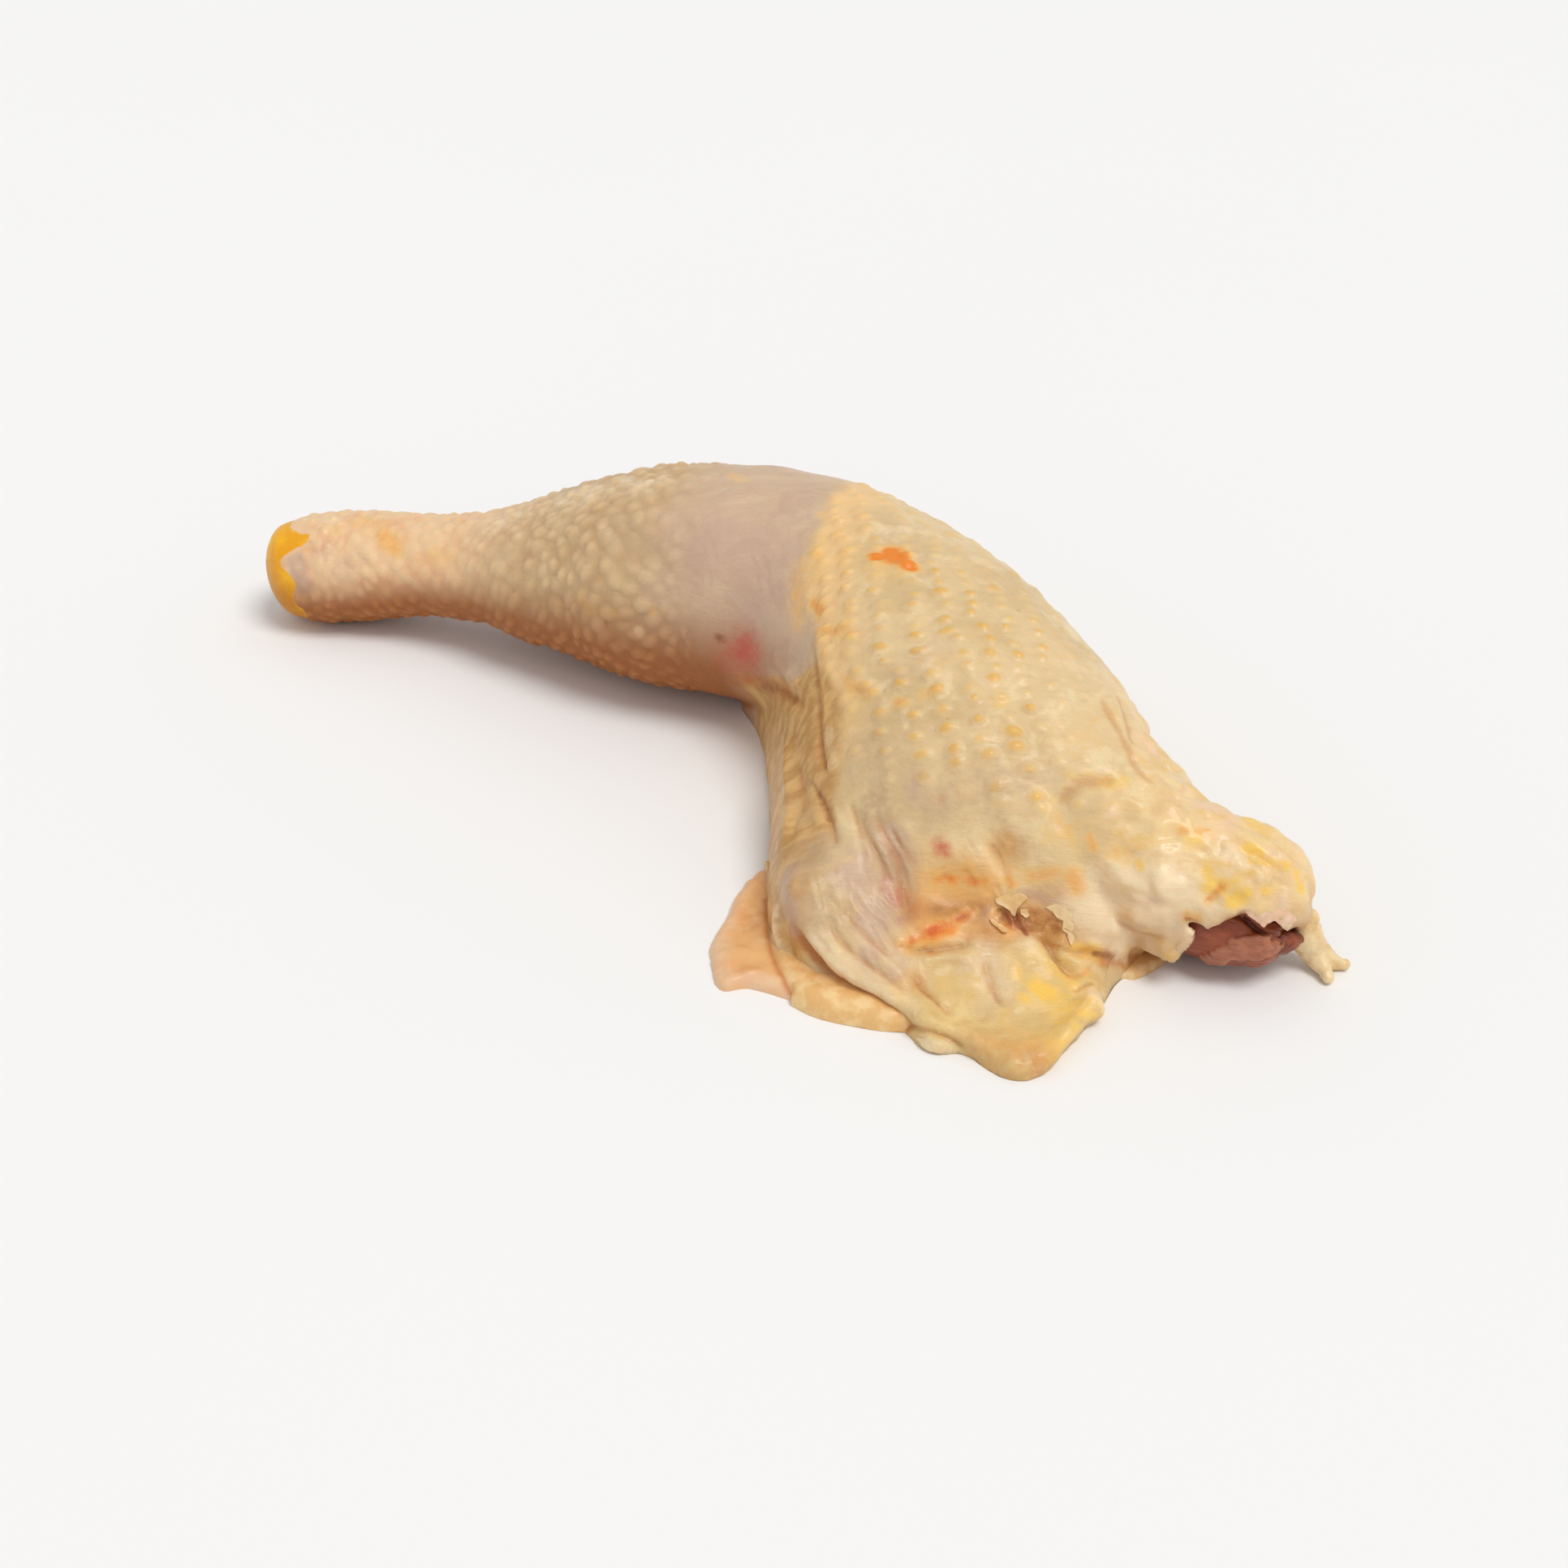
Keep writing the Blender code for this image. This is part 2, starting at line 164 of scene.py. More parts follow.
LIP_HOLLOW_SWELL = 1.9
POCKET_TO = 121.0
POCKET_CAP = 2.0

# The forked strand of fat that hangs down from the cut end: two paths of x, y, z, radius.
STRAND_PATHS = [
    [(142.0, 2.3, 12.4, 1.9), (142.2, 2.4, 8.4, 3.0), (143.9, 2.7, 4.0, 2.7), (147.0, 1.4, 2.2, 1.8),
     (149.0, -0.6, 1.5, 1.2)],
    [(145.2, 3.8, 3.6, 2.4), (147.8, 4.4, 2.2, 1.8), (150.2, 5.4, 1.5, 1.2)],
]
STRAND_STEP = 0.5
STRAND_RING_POINTS = 24
# Wet tissue between the meat and the strand: stations of x, y, z and radius, and how flat it is.
TISSUE_PATH = [(137.8, -4.6, 9.8, 3.6), (139.6, -2.8, 9.2, 3.4), (140.8, -0.4, 9.0, 2.4)]
TISSUE_CAPS = (2.4, 2.0)
TISSUE_FLATNESS = 0.8
TISSUE_STEP = 0.3
TISSUE_RING_POINTS = 90

# Clear gap between the meat and the skin round it, in metres.
GAP = 0.0003

# How finely the shells are fused, in metres, and how many rounds they are softened, first and last.
SKIN_FUSE = (0.0009, 5)
SKIN_REFUSE = (0.00056, 3)
STRAND_FUSE = (0.00028, 2)
SOFTENING = 0.5
SKIN_TRIANGLES = 194000

# Camera: its place in drawing units, how far it looks down and how far it is turned to the left in
# degrees, and its lens in millimetres.
CAMERA_PLACE = (262.0, -409.0, 320.0)
CAMERA_PITCH = 33.49
CAMERA_YAW = 31.0
CAMERA_LENS = 56.83

# The photo's frame in pixels: its side, and how far the camera's eye is from it.
PHOTO_SIDE = 1932
SENSOR_WIDTH = 36
EYE_TO_PHOTO = CAMERA_LENS / SENSOR_WIDTH * PHOTO_SIDE

# The step along curved paths in drawing units, and what counts as no distance at all.
PATH_STEP = 0.5
TINY = 1e-6


def curve_through(stations, spots):
    """Values at the given spots of smooth curves through the stations, whose first column is the place.

    Between two stations each value is the cubic that meets both, with the slope there of the line
    between their neighbours.
    """
    table = np.array(stations, float)
    knots, values = table[:, 0], table[:, 1:]
    spots = np.clip(spots, knots[0], knots[-1])
    slopes = np.empty_like(values)
    slopes[1:-1] = (values[2:] - values[:-2]) / (knots[2:] - knots[:-2])[:, None]
    slopes[0] = (values[1] - values[0]) / (knots[1] - knots[0])
    slopes[-1] = (values[-1] - values[-2]) / (knots[-1] - knots[-2])
    index = np.clip(np.searchsorted(knots, spots, side="right") - 1, 0, len(knots) - 2)
    width = (knots[index + 1] - knots[index])[:, None]
    t = ((spots - knots[index]) / width[:, 0])[:, None]
    return (
        (1 + 2 * t) * (1 - t) ** 2 * values[index]
        + t * (1 - t) ** 2 * width * slopes[index]
        + t * t * (3 - 2 * t) * values[index + 1]
        + t * t * (t - 1) * width * slopes[index + 1]
    )


def along_path(stations, step):
    """Rows of the smooth path through the stations at even steps, and the direction of the path at each."""
    table = np.array(stations, float)
    lengths = np.linalg.norm(np.diff(table[:, :3], axis=0), axis=1)
    along = np.concatenate([[0], np.cumsum(lengths)])
    count = max(int(along[-1] / step), 3)
    rows = curve_through(np.column_stack([along, table]), np.linspace(0, along[-1], count))
    tangents = np.gradient(rows[:, :3], axis=0)
    return rows, tangents / np.linalg.norm(tangents, axis=1)[:, None]


def ring_points(middle, tangent, sizes, count):
    """A ring square to the tangent: a superellipse of a far half width, near half width and half height."""
    side = np.cross((0, 0, 1), tangent)
    side /= np.linalg.norm(side)
    up = np.cross(tangent, side)
    angle = np.linspace(0, 2 * math.pi, count, endpoint=False)
    c, s = np.cos(angle), np.sin(angle)
    power = 2 / SECTION_POWER
    far, near, half_height = sizes
    across = np.sign(c) * np.abs(c) ** power * np.where(c > 0, far, near)
    upward = np.sign(s) * np.abs(s) ** power * half_height
    return middle + across[:, None] * side + upward[:, None] * up


def tube(stations, caps, step, count, swell=0.0):
    """Points and faces of a closed tube through the stations, with a rounded cap at each end.

    The tube is larger all round by swell, in drawing units. Each cap is a quarter turn of an ellipse.
    """
    rows, tangents = along_path(stations, step)
    middles, sizes = rows[:, :3], rows[:, 3:] + swell
    rings = []
    turns = [np.linspace(0, math.pi / 2, int(cap / step) + CAP_RINGS)[1:-1] for cap in caps]
    for turn in turns[0]:
        middle = middles[0] - tangents[0] * (caps[0] + swell) * math.cos(turn)
        rings.append(ring_points(middle, tangents[0], sizes[0] * math.sin(turn), count))
    for middle, tangent, size in zip(middles, tangents, sizes):
        rings.append(ring_points(middle, tangent, size, count))
    for turn in turns[1][::-1]:
        middle = middles[-1] + tangents[-1] * (caps[1] + swell) * math.cos(turn)
        rings.append(ring_points(middle, tangents[-1], sizes[-1] * math.sin(turn), count))
    tips = [middles[0] - tangents[0] * (caps[0] + swell), middles[-1] + tangents[-1] * (caps[1] + swell)]
    return stack_of_rings(np.array(rings), tips)


def stack_of_rings(rings, tips):
    """Points and faces of the closed surface over a stack of rings, each end closed by a fan to its tip."""
    rows, columns = rings.shape[:2]
    index = np.arange(rows * columns).reshape(rows, columns)
    after = np.roll(index, -1, axis=1)
    quads = np.stack([index[:-1], after[:-1], after[1:], index[1:]], -1).reshape(-1, 4)
    first, last = rows * columns, rows * columns + 1
    fans = np.concatenate([
        np.stack([np.full(columns, first), after[0], index[0]], -1),
        np.stack([np.full(columns, last), index[-1], after[-1]], -1),
    ])
    return np.concatenate([rings.reshape(-1, 3), np.array(tips)]), quads.tolist() + fans.tolist()


def block_under(top, floor):
    """Points and faces of the closed block between a grid of top points and a flat floor at that height."""
    across, out = top.shape[:2]
    index = np.arange(across * out).reshape(across, out)
    below = index + across * out
    quads = [
        np.stack([index[:-1, :-1], index[:-1, 1:], index[1:, 1:], index[1:, :-1]], -1).reshape(-1, 4),
        np.stack([below[:-1, :-1], below[1:, :-1], below[1:, 1:], below[:-1, 1:]], -1).reshape(-1, 4),
    ]
    rim = np.concatenate([index[:, 0], index[-1, 1:], index[-2::-1, -1], index[0, -2:0:-1]])
    after = np.roll(rim, -1)
    quads.append(np.stack([rim, after, after + across * out, rim + across * out], -1))
    under = top.copy()
    under[:, :, 2] = floor
    return np.concatenate([top.reshape(-1, 3), under.reshape(-1, 3)]), np.concatenate(quads).tolist()


def apron_block():
    """The loose skin: a soft slope down from the thigh, rounded at its edge, with its swellings.

    The slope is foot + (top - foot) / (1 + e^-((y - middle) / softness)), plus a bell for each swelling.
    """
    across, out = APRON_STEPS
    xs = np.linspace(APRON_STATIONS[0][0], APRON_STATIONS[-1][0], across)
    columns = curve_through(APRON_STATIONS, xs).T[:, :, None]
    middle, softness, top, foot, edge, radius = columns
    share = np.sin(np.linspace(0, 1, out) * math.pi / 2)[None, :]
    x = np.repeat(xs[:, None], out, axis=1)
    inner = curve_through(LEG_STATIONS, xs)[:, :1] - APRON_INNER_STEP
    y = inner + (edge - inner) * share
    slope = foot + (top - foot) / (1 + np.exp(-(y - middle) / softness))
    for at_x, at_y, reach_x, reach_y, height in APRON_SWELLINGS:
        slope = slope + height * np.exp(-(((x - at_x) / reach_x) ** 2) - ((y - at_y) / reach_y) ** 2)
    inside = np.clip((y - edge) / radius, 0, 1)
    return block_under(np.stack([x, y, slope * np.sqrt(1 - (1 - inside) ** 2)], -1), -BELOW_REST)


# What scrambles a cell's place into a random number: a factor and a start for the seed and for each
# step, a factor for each axis, and the size of the numbers in between and at the end.
SEED_FACTOR, SEED_START = 374761393, 668265263
STEP_FACTOR, STEP_START = 1274126177, 1013904223
AXIS_FACTORS = (73856093, 19349663, 83492791)
STEP_SHIFT = 15
BITS_BETWEEN, BITS_AT_END = 0xFFFFFFFF, 0xFFFF
# What layered noise is divided by, to stay between about -1 and 1.
LAYERS_TOGETHER = 1.5


def scramble(cells, seed):
    """A random number from -1 to 1 for each whole-number cell, the same each time for a cell and seed."""
    key = np.full(cells.shape[:-1], seed * SEED_FACTOR + SEED_START, np.int64)
    for column, factor in zip(np.moveaxis(cells, -1, 0), AXIS_FACTORS):
        key = (key ^ (column * factor)) & BITS_BETWEEN
        key = (key * STEP_FACTOR + STEP_START) & BITS_BETWEEN
        key = key ^ (key >> STEP_SHIFT)
    return (key & BITS_AT_END) / (BITS_AT_END / 2) - 1


def lumps(points, size, seed):
    """Smooth noise from -1 to 1: a random value at each corner of a grid of that size, eased in between.

    The ease is 6 t^5 - 15 t^4 + 10 t^3, where t is the share of the way across the cell.
    """
    scaled = points / size
    cell = np.floor(scaled).astype(np.int64)
    part = scaled - cell
    ease = part * part * part * (part * (part * 6 - 15) + 10)
    total = np.zeros(len(points))
    for corner in itertools.product((0, 1), repeat=points.shape[1]):
        share = np.prod(np.where(corner, ease, 1 - ease), axis=1)
        total += share * scramble(cell + corner, seed)
    return total


def layered_lumps(points, size, seed, layers=3):
    """Noise at several sizes, each half the size and half the height of the one before."""
    return sum(lumps(points, size / 2**k, seed + k) / 2**k for k in range(layers)) / LAYERS_TOGETHER


def unevenness(points, layers):
    """Sum of layers of noise, each given as the size of its lumps, their height and the seed."""
    return sum(high * lumps(points, size, seed) for size, high, seed in layers)


def ease_between(values, low, high):
    """0 below low, 1 above high, and a smooth step between them."""
    t = np.clip((values - low) / (high - low), 0, 1)
    return t * t * (3 - 2 * t)


# Folds of the skin: the kind, half width and height in drawing units, and the path in pixels of the photo.
# A ridge and a crease fade on both sides. A step is higher on the right of its path and fades there.
FOLDS = [
    ("step", 1.5, 0.7, [(1000, 740), (1001, 770), (1006, 800), (1011, 840), (1014, 880), (1014, 915),
                        (1020, 950), (1034, 978)]),
    ("crease", 0.9, 1.3, [(998, 782), (1004, 826), (1008, 870), (1010, 905), (1016, 938), (1026, 966)]),
    ("crease", 1.0, 1.1, [(1002, 962), (1016, 992), (1026, 1024), (1034, 1052)]),
    ("crease", 1.4, 0.7, [(984, 940), (990, 975), (992, 1010)]),
    ("ridge", 1.8, 1.0, [(968, 905), (972, 950), (974, 1000), (966, 1050)]),
    ("crease", 1.3, 2.6, [(980, 1112), (988, 1142), (1000, 1172), (1020, 1198), (1050, 1220),
                          (1086, 1242), (1112, 1258), (1130, 1268)]),
    ("ridge", 2.4, 1.6, [(962, 1102), (964, 1150), (980, 1192), (1008, 1220), (1046, 1238),
                         (1084, 1254)]),
    ("ridge", 1.8, 1.3, [(1010, 1156), (1032, 1186), (1062, 1208), (1096, 1228), (1126, 1248)]),
    ("crease", 0.9, 0.9, [(1016, 1128), (1034, 1158), (1062, 1182), (1096, 1206), (1126, 1228)]),
    ("crease", 0.8, 0.8, [(1034, 1110), (1050, 1136), (1076, 1162), (1102, 1186)]),
    ("ridge", 1.4, 0.9, [(1040, 1136), (1062, 1160), (1092, 1186), (1122, 1210)]),
    ("crease", 1.2, 1.0, [(1074, 992), (1088, 1024), (1104, 1054), (1114, 1086), (1116, 1118),
                          (1120, 1146)]),
    ("crease", 0.7, 0.45, [(1098, 1016), (1112, 1044), (1126, 1072)]),
    ("crease", 0.7, 0.45, [(1060, 1000), (1070, 1030), (1086, 1062), (1096, 1094)]),
    ("crease", 0.8, 0.7, [(1046, 985), (1056, 1012), (1066, 1044)]),
    ("ridge", 1.5, 0.5, [(1066, 985), (1080, 1020), (1094, 1052), (1102, 1086)]),
    ("crease", 0.5, 1.3, [(1256, 1116), (1259, 1127), (1262, 1138), (1267, 1150)]),
    ("crease", 0.8, 0.9, [(1228, 1118), (1240, 1130), (1252, 1136)]),
    ("crease", 0.8, 0.9, [(1268, 1132), (1290, 1142)]),
    ("crease", 1.1, 1.6, [(1106, 1164), (1132, 1169), (1164, 1166), (1204, 1160)]),
    ("ridge", 2.0, 0.9, [(1130, 1180), (1170, 1178), (1210, 1176)]),
    ("ridge", 1.5, 0.9, [(1128, 1146), (1160, 1136), (1196, 1116)]),
    ("crease", 1.2, 1.8, [(1284, 1146), (1294, 1162), (1306, 1180), (1318, 1194), (1334, 1200)]),
    ("ridge", 1.4, 0.7, [(1304, 1150), (1312, 1164), (1322, 1180), (1338, 1190)]),
    ("crease", 1.0, 0.9, [(1306, 1166), (1326, 1174), (1350, 1176), (1378, 1180), (1410, 1184),
                          (1440, 1184)]),
    ("crease", 0.9, 0.6, [(1318, 1203), (1334, 1198), (1350, 1188)]),
    ("crease", 0.8, 0.8, [(1320, 1222), (1334, 1216), (1350, 1216)]),
    ("crease", 1.4, 0.8, [(1214, 1176), (1218, 1200), (1228, 1226), (1238, 1240)]),
    ("crease", 1.2, 1.2, [(1124, 1192), (1138, 1216), (1158, 1236), (1180, 1250)]),
    ("crease", 0.9, 1.4, [(1112, 1262), (1134, 1268), (1156, 1274), (1176, 1284), (1194, 1298)]),
    ("ridge", 1.7, 1.0, [(1116, 1250), (1150, 1260), (1184, 1276), (1214, 1298)]),
    ("ridge", 2.6, 0.6, [(1244, 1180), (1254, 1220), (1260, 1250)]),
    ("ridge", 2.0, 1.3, [(1346, 1196), (1346, 1222), (1336, 1246), (1320, 1268), (1298, 1296),
                         (1270, 1318)]),
    ("crease", 2.0, 0.5, [(1298, 996), (1312, 982), (1330, 966), (1354, 962), (1384, 962)]),
    ("ridge", 3.2, 0.5, [(1300, 968), (1326, 950), (1360, 944), (1392, 952)]),
    ("crease", 1.2, 0.45, [(1348, 850), (1366, 880), (1382, 908), (1394, 934), (1408, 956),
                           (1436, 978)]),
    ("crease", 1.0, 0.35, [(1374, 852), (1384, 880), (1394, 910), (1402, 926)]),
    ("ridge", 1.5, 0.4, [(1360, 852), (1376, 884), (1390, 914), (1400, 940), (1420, 962)]),
    ("crease", 1.3, 0.6, [(1214, 1036), (1230, 1052), (1242, 1074), (1248, 1096)]),
    ("ridge", 1.5, 0.5, [(1200, 1040), (1216, 1058), (1228, 1078)]),
    ("crease", 0.8, 0.8, [(1486, 1116), (1494, 1106), (1502, 1098), (1506, 1090)]),
    ("ridge", 2.2, 1.3, [(1420, 1098), (1444, 1092), (1470, 1092)]),
    ("ridge", 1.8, 1.2, [(1504, 1046), (1520, 1050), (1532, 1060)]),
    ("ridge", 1.5, 1.0, [(1540, 1070), (1556, 1080), (1570, 1088)]),
    ("ridge", 2.2, 0.6, [(1392, 1120), (1420, 1130), (1446, 1132)]),
    ("crease", 1.0, 0.35, [(1366, 1126), (1392, 1140), (1420, 1150), (1446, 1152)]),
    ("ridge", 2.6, 1.1, [(1400, 1160), (1430, 1166), (1452, 1160)]),
    ("ridge", 1.8, 1.0, [(1500, 1112), (1520, 1096), (1546, 1094)]),
    ("crease", 1.8, 1.1, [(934, 850), (956, 848), (976, 858), (992, 878)]),
    ("ridge", 1.8, 0.8, [(950, 800), (966, 826), (984, 846)]),
]
STEP_REACH = 4.5
# How many half widths from its path a fold is worked out, the share of its length over which it eases in
# and out, and how sharp a crease is.
FOLD_LIMIT = 2.6
FOLD_ENDS = 0.2
CREASE_POWER = 1.5

# Broad swellings and hollows: how far each reaches and its height in drawing units, and its place in pixels.
SWELLINGS = [
    (4.5, 2.4, (984, 1096)), (4.5, 2.2, (990, 1140)), (4.0, 1.6, (982, 1050)),
    (9.0, -3.2, (1218, 1104)), (5.0, -1.4, (1262, 1128)), (6.0, 1.6, (1190, 1060)),
    (7.0, -2.0, (1112, 1092)), (6.5, 1.6, (1060, 1060)), (6.0, 1.2, (1300, 1040)),
    (5.0, -1.2, (1246, 1048)), (7.0, 0.6, (1440, 1060)), (6.0, 1.2, (1400, 1110)),
    (3.2, 1.3, (1342, 1208)), (3.2, 1.4, (1344, 1240)), (3.0, 1.0, (1318, 1270)),
    (3.4, 0.9, (1284, 1300)), (4.2, -3.0, (1378, 1196)), (2.6, 1.4, (1346, 1248)),
    (3.4, 1.4, (1444, 1162)), (2.4, 1.3, (1462, 1156)), (3.4, 1.2, (1424, 1170)),
    (5.0, 1.0, (1250, 1186)), (6.0, -1.2, (1160, 1200)), (4.5, 1.0, (1366, 1140)),
]

# Fine parallel wrinkles: the middle of the area and the way they run in pixels of the photo, and in drawing
# units the area's reach, how far apart and how long the wrinkles are, and their height.
WRINKLES = [
    ((1100, 1060), (14, 34), 10.0, 1.3, 7.0, 0.42),
    ((1060, 1150), (24, 30), 14.0, 1.5, 8.0, 0.45),
    ((1000, 1010), (4, 40), 13.0, 1.9, 12.0, 0.32),
    ((1010, 1110), (6, 36), 9.0, 1.5, 7.0, 0.35),
    ((975, 900), (6, 40), 9.0, 2.4, 16.0, 0.14),
    ((1216, 1062), (16, 26), 7.0, 1.3, 7.0, 0.45),
    ((1290, 1160), (30, 12), 8.0, 1.5, 8.0, 0.45),
    ((1200, 1176), (34, 4), 9.0, 1.5, 9.0, 0.30),
    ((1150, 800), (30, 4), 36.0, 1.7, 4.0, 0.12),
    ((1270, 900), (30, 6), 24.0, 1.6, 5.0, 0.15),
    ((1450, 1000), (34, 10), 15.0, 1.6, 13.0, 0.28),
    ((1400, 900), (34, 40), 17.0, 1.8, 14.0, 0.32),
    ((1570, 1050), (26, 18), 11.0, 1.5, 9.0, 0.35),
    ((1420, 1120), (26, 6), 10.0, 1.8, 7.0, 0.25),
    ((1040, 1236), (30, 12), 8.0, 1.7, 11.0, 0.40),
    ((930, 690), (10, 30), 20.0, 2.2, 9.0, 0.15),
]

# The wrinkles' rough way out of the skin, how much they bend and over what distance, and their seeds.
WRINKLES_OUTWARD = (0.3, 0.4, 1.0)
WRINKLES_BEND = 0.35
WRINKLES_BEND_SIZE = 6.0
WRINKLES_SEEDS = (50, 70)

# Where each kind of skin and each area begins: rows of the weights of x, y and z in a sum, how much noise
# is added to it, and the sums at which the area begins and is complete. All rows of a name hold together.
EDGES = {
    "knee": [((1, 0, 0.25), 4, -26.5, -4.5)],
    "band": [((0, 0.4, 1), 0, 6, 40)],
    "web": [((0, -1, -1), 5, -41, -29), ((1, 0, 0), 0, -11, 0)],
    "end": [((1, 0.5, -0.25), 5, 78, 100), ((0, 1, 0.9), 0, -26, -12)],
    "hock": [((-1, 0, 0), 0, 62, 98)],
    "past knee": [((1, 0, 0), 0, -25, 0)],
    "no drumstick bumps": [((1, 0.3, 0), 6, -25, -5)],
    "thigh bumps": [((-1, -0.3, 0), 8, -104, -70), ((0, 1, 1), 6, -4, 22)],
    "lower thigh bumps": [((0.35, 1, 0), 0, 34, 58)],
    "uneven hem": [((0.2, -1, 0), 0, 62, 72), ((0, 0, -1), 0, -9, -5)],
    "calm hem": [((1, 0, 0), 0, 36, 46), ((-1, 0, 0), 0, -94, -90)],
    "flap": [((1, -0.2, 0), 0, 84, 98), ((0, 0, -1), 0, -14, -9), ((0, -1, 0), 0, 24, 32)],
    "cut end": [((1, 0, 0), 0, 112, 118)],
    "full strand": [((0, 0, 1), 0, 3, 7)],
}
# Noise that moves the edges of the kinds of skin and of the follicles: size of its lumps, and seed.
ZONE_NOISE = (6.0, 5)
FOLLICLE_NOISE = (9.0, 8)

# Where the yellow skin of the thigh begins: y and x of the edge, how much noise moves it, its half width
# low down and how much wider it is high up, the heights between which it widens, and how far the paler
# band and the deep web beside it reach.
THIGH_EDGE = [(-60, 52), (-23, 40), (-6, 29), (7, 20), (18, 12), (32, 7), (50, 3), (72, -2)]
THIGH_EDGE_WANDER = 0.9
THIGH_EDGE_WIDTH, THIGH_EDGE_WIDENING = 0.8, 3.4
THIGH_EDGE_HEIGHTS = (30, 44)
BAND_REACH = 14.0
WEB_REACH = 9.0

# The yellow cap of the hock: how far out it begins, its top, how soft its edge is and how much noise moves
# it outwards and up, and the tongue of skin that juts into it, by its height, half width and length.
CAP_FROM = 128.2
CAP_TOP = 26.4
CAP_SOFTNESS = 0.8
CAP_WANDER, CAP_TOP_WANDER = 1.6, 0.8
TONGUE_HEIGHT, TONGUE_WIDTH, TONGUE_LENGTH = 21.0, 3.0, 5.0

# Follicles: distance between every second bump along and round the leg, half sizes of a bump along and
# round, how far each is off its place as a share of the distance, how far the bumps between are moved
# round the leg as a share of the distance, and the height.
DRUMSTICK_BUMPS = (6.2, 5.2, 2.7, 2.7, 0.22, 0.5, 0.90)
THIGH_BUMPS = (7.8, 6.6, 2.0, 2.9, 0.13, 0.0, 1.25)
# How much bumps differ in size and in height, the share of a bump that its slope takes, how much lower
# they are on the hock and on the lower thigh, the seeds of the two kinds, and how far apart the seeds of a
# bump's draws are.
BUMP_SIZES = 0.22
BUMP_HEIGHTS = 0.25
BUMP_SLOPE = 0.9
LOWER_ON_HOCK, LOWER_ON_THIGH = 0.15, 0.5
DRUMSTICK_SEED, THIGH_SEED = 3, 4
SEEDS_APART = 10
# How the rows of bumps are turned on the thigh, and how they sway: size of the noise, how far, and seeds.
THIGH_ROWS_TURN = math.radians(28.0)
ROWS_SWAY_SIZE, ROWS_SWAY = 15.0, 1.8
ROWS_SWAY_SEEDS = (61, 62)
# Rounds of looking for a point's foot on the bone's line.
FOOT_ROUNDS = 4

# Unevenness of the skin: for each layer the size of its lumps and their height in drawing units, and seed.
SKIN_LUMPS = [(26.0, 0.7, 20), (9.0, 0.35, 21)]
FAT_LUMPS = [(5.0, 1.05, 30), (2.4, 0.55, 31)]
TORN_LUMPS = [(2.6, 0.7, 36), (1.3, 0.35, 37)]
HEM_LUMPS = [(6.0, 0.9, 42), (2.2, 0.35, 43)]
GRAIN = [(1.6, 0.06, 64)]
FAT_STRETCH = (0.7, 1.2, 1.0)
TORN_MIDDLE, TORN_SIZES = (90.0, -31.5, 17.0), (11.0, 6.0, 6.0)
# The inside of the cut end, and how far the surface has to face down to be under and the meat to be inside.
CUT_MIDDLE, CUT_SIZES = (129, -7, 11), (18, 17, 16)
FACING_DOWN = (-0.36, 0.34)
FACING_MEAT = (-0.2, 0.3)
# The share of an egg's radius over which it fades, how many half widths from its path a mark is worked
# out, and the height below which a raised point is held back because it rests.
EGG_FADE = 0.6
MARK_LIMIT = 2.5
RESTING_BELOW = 1.2

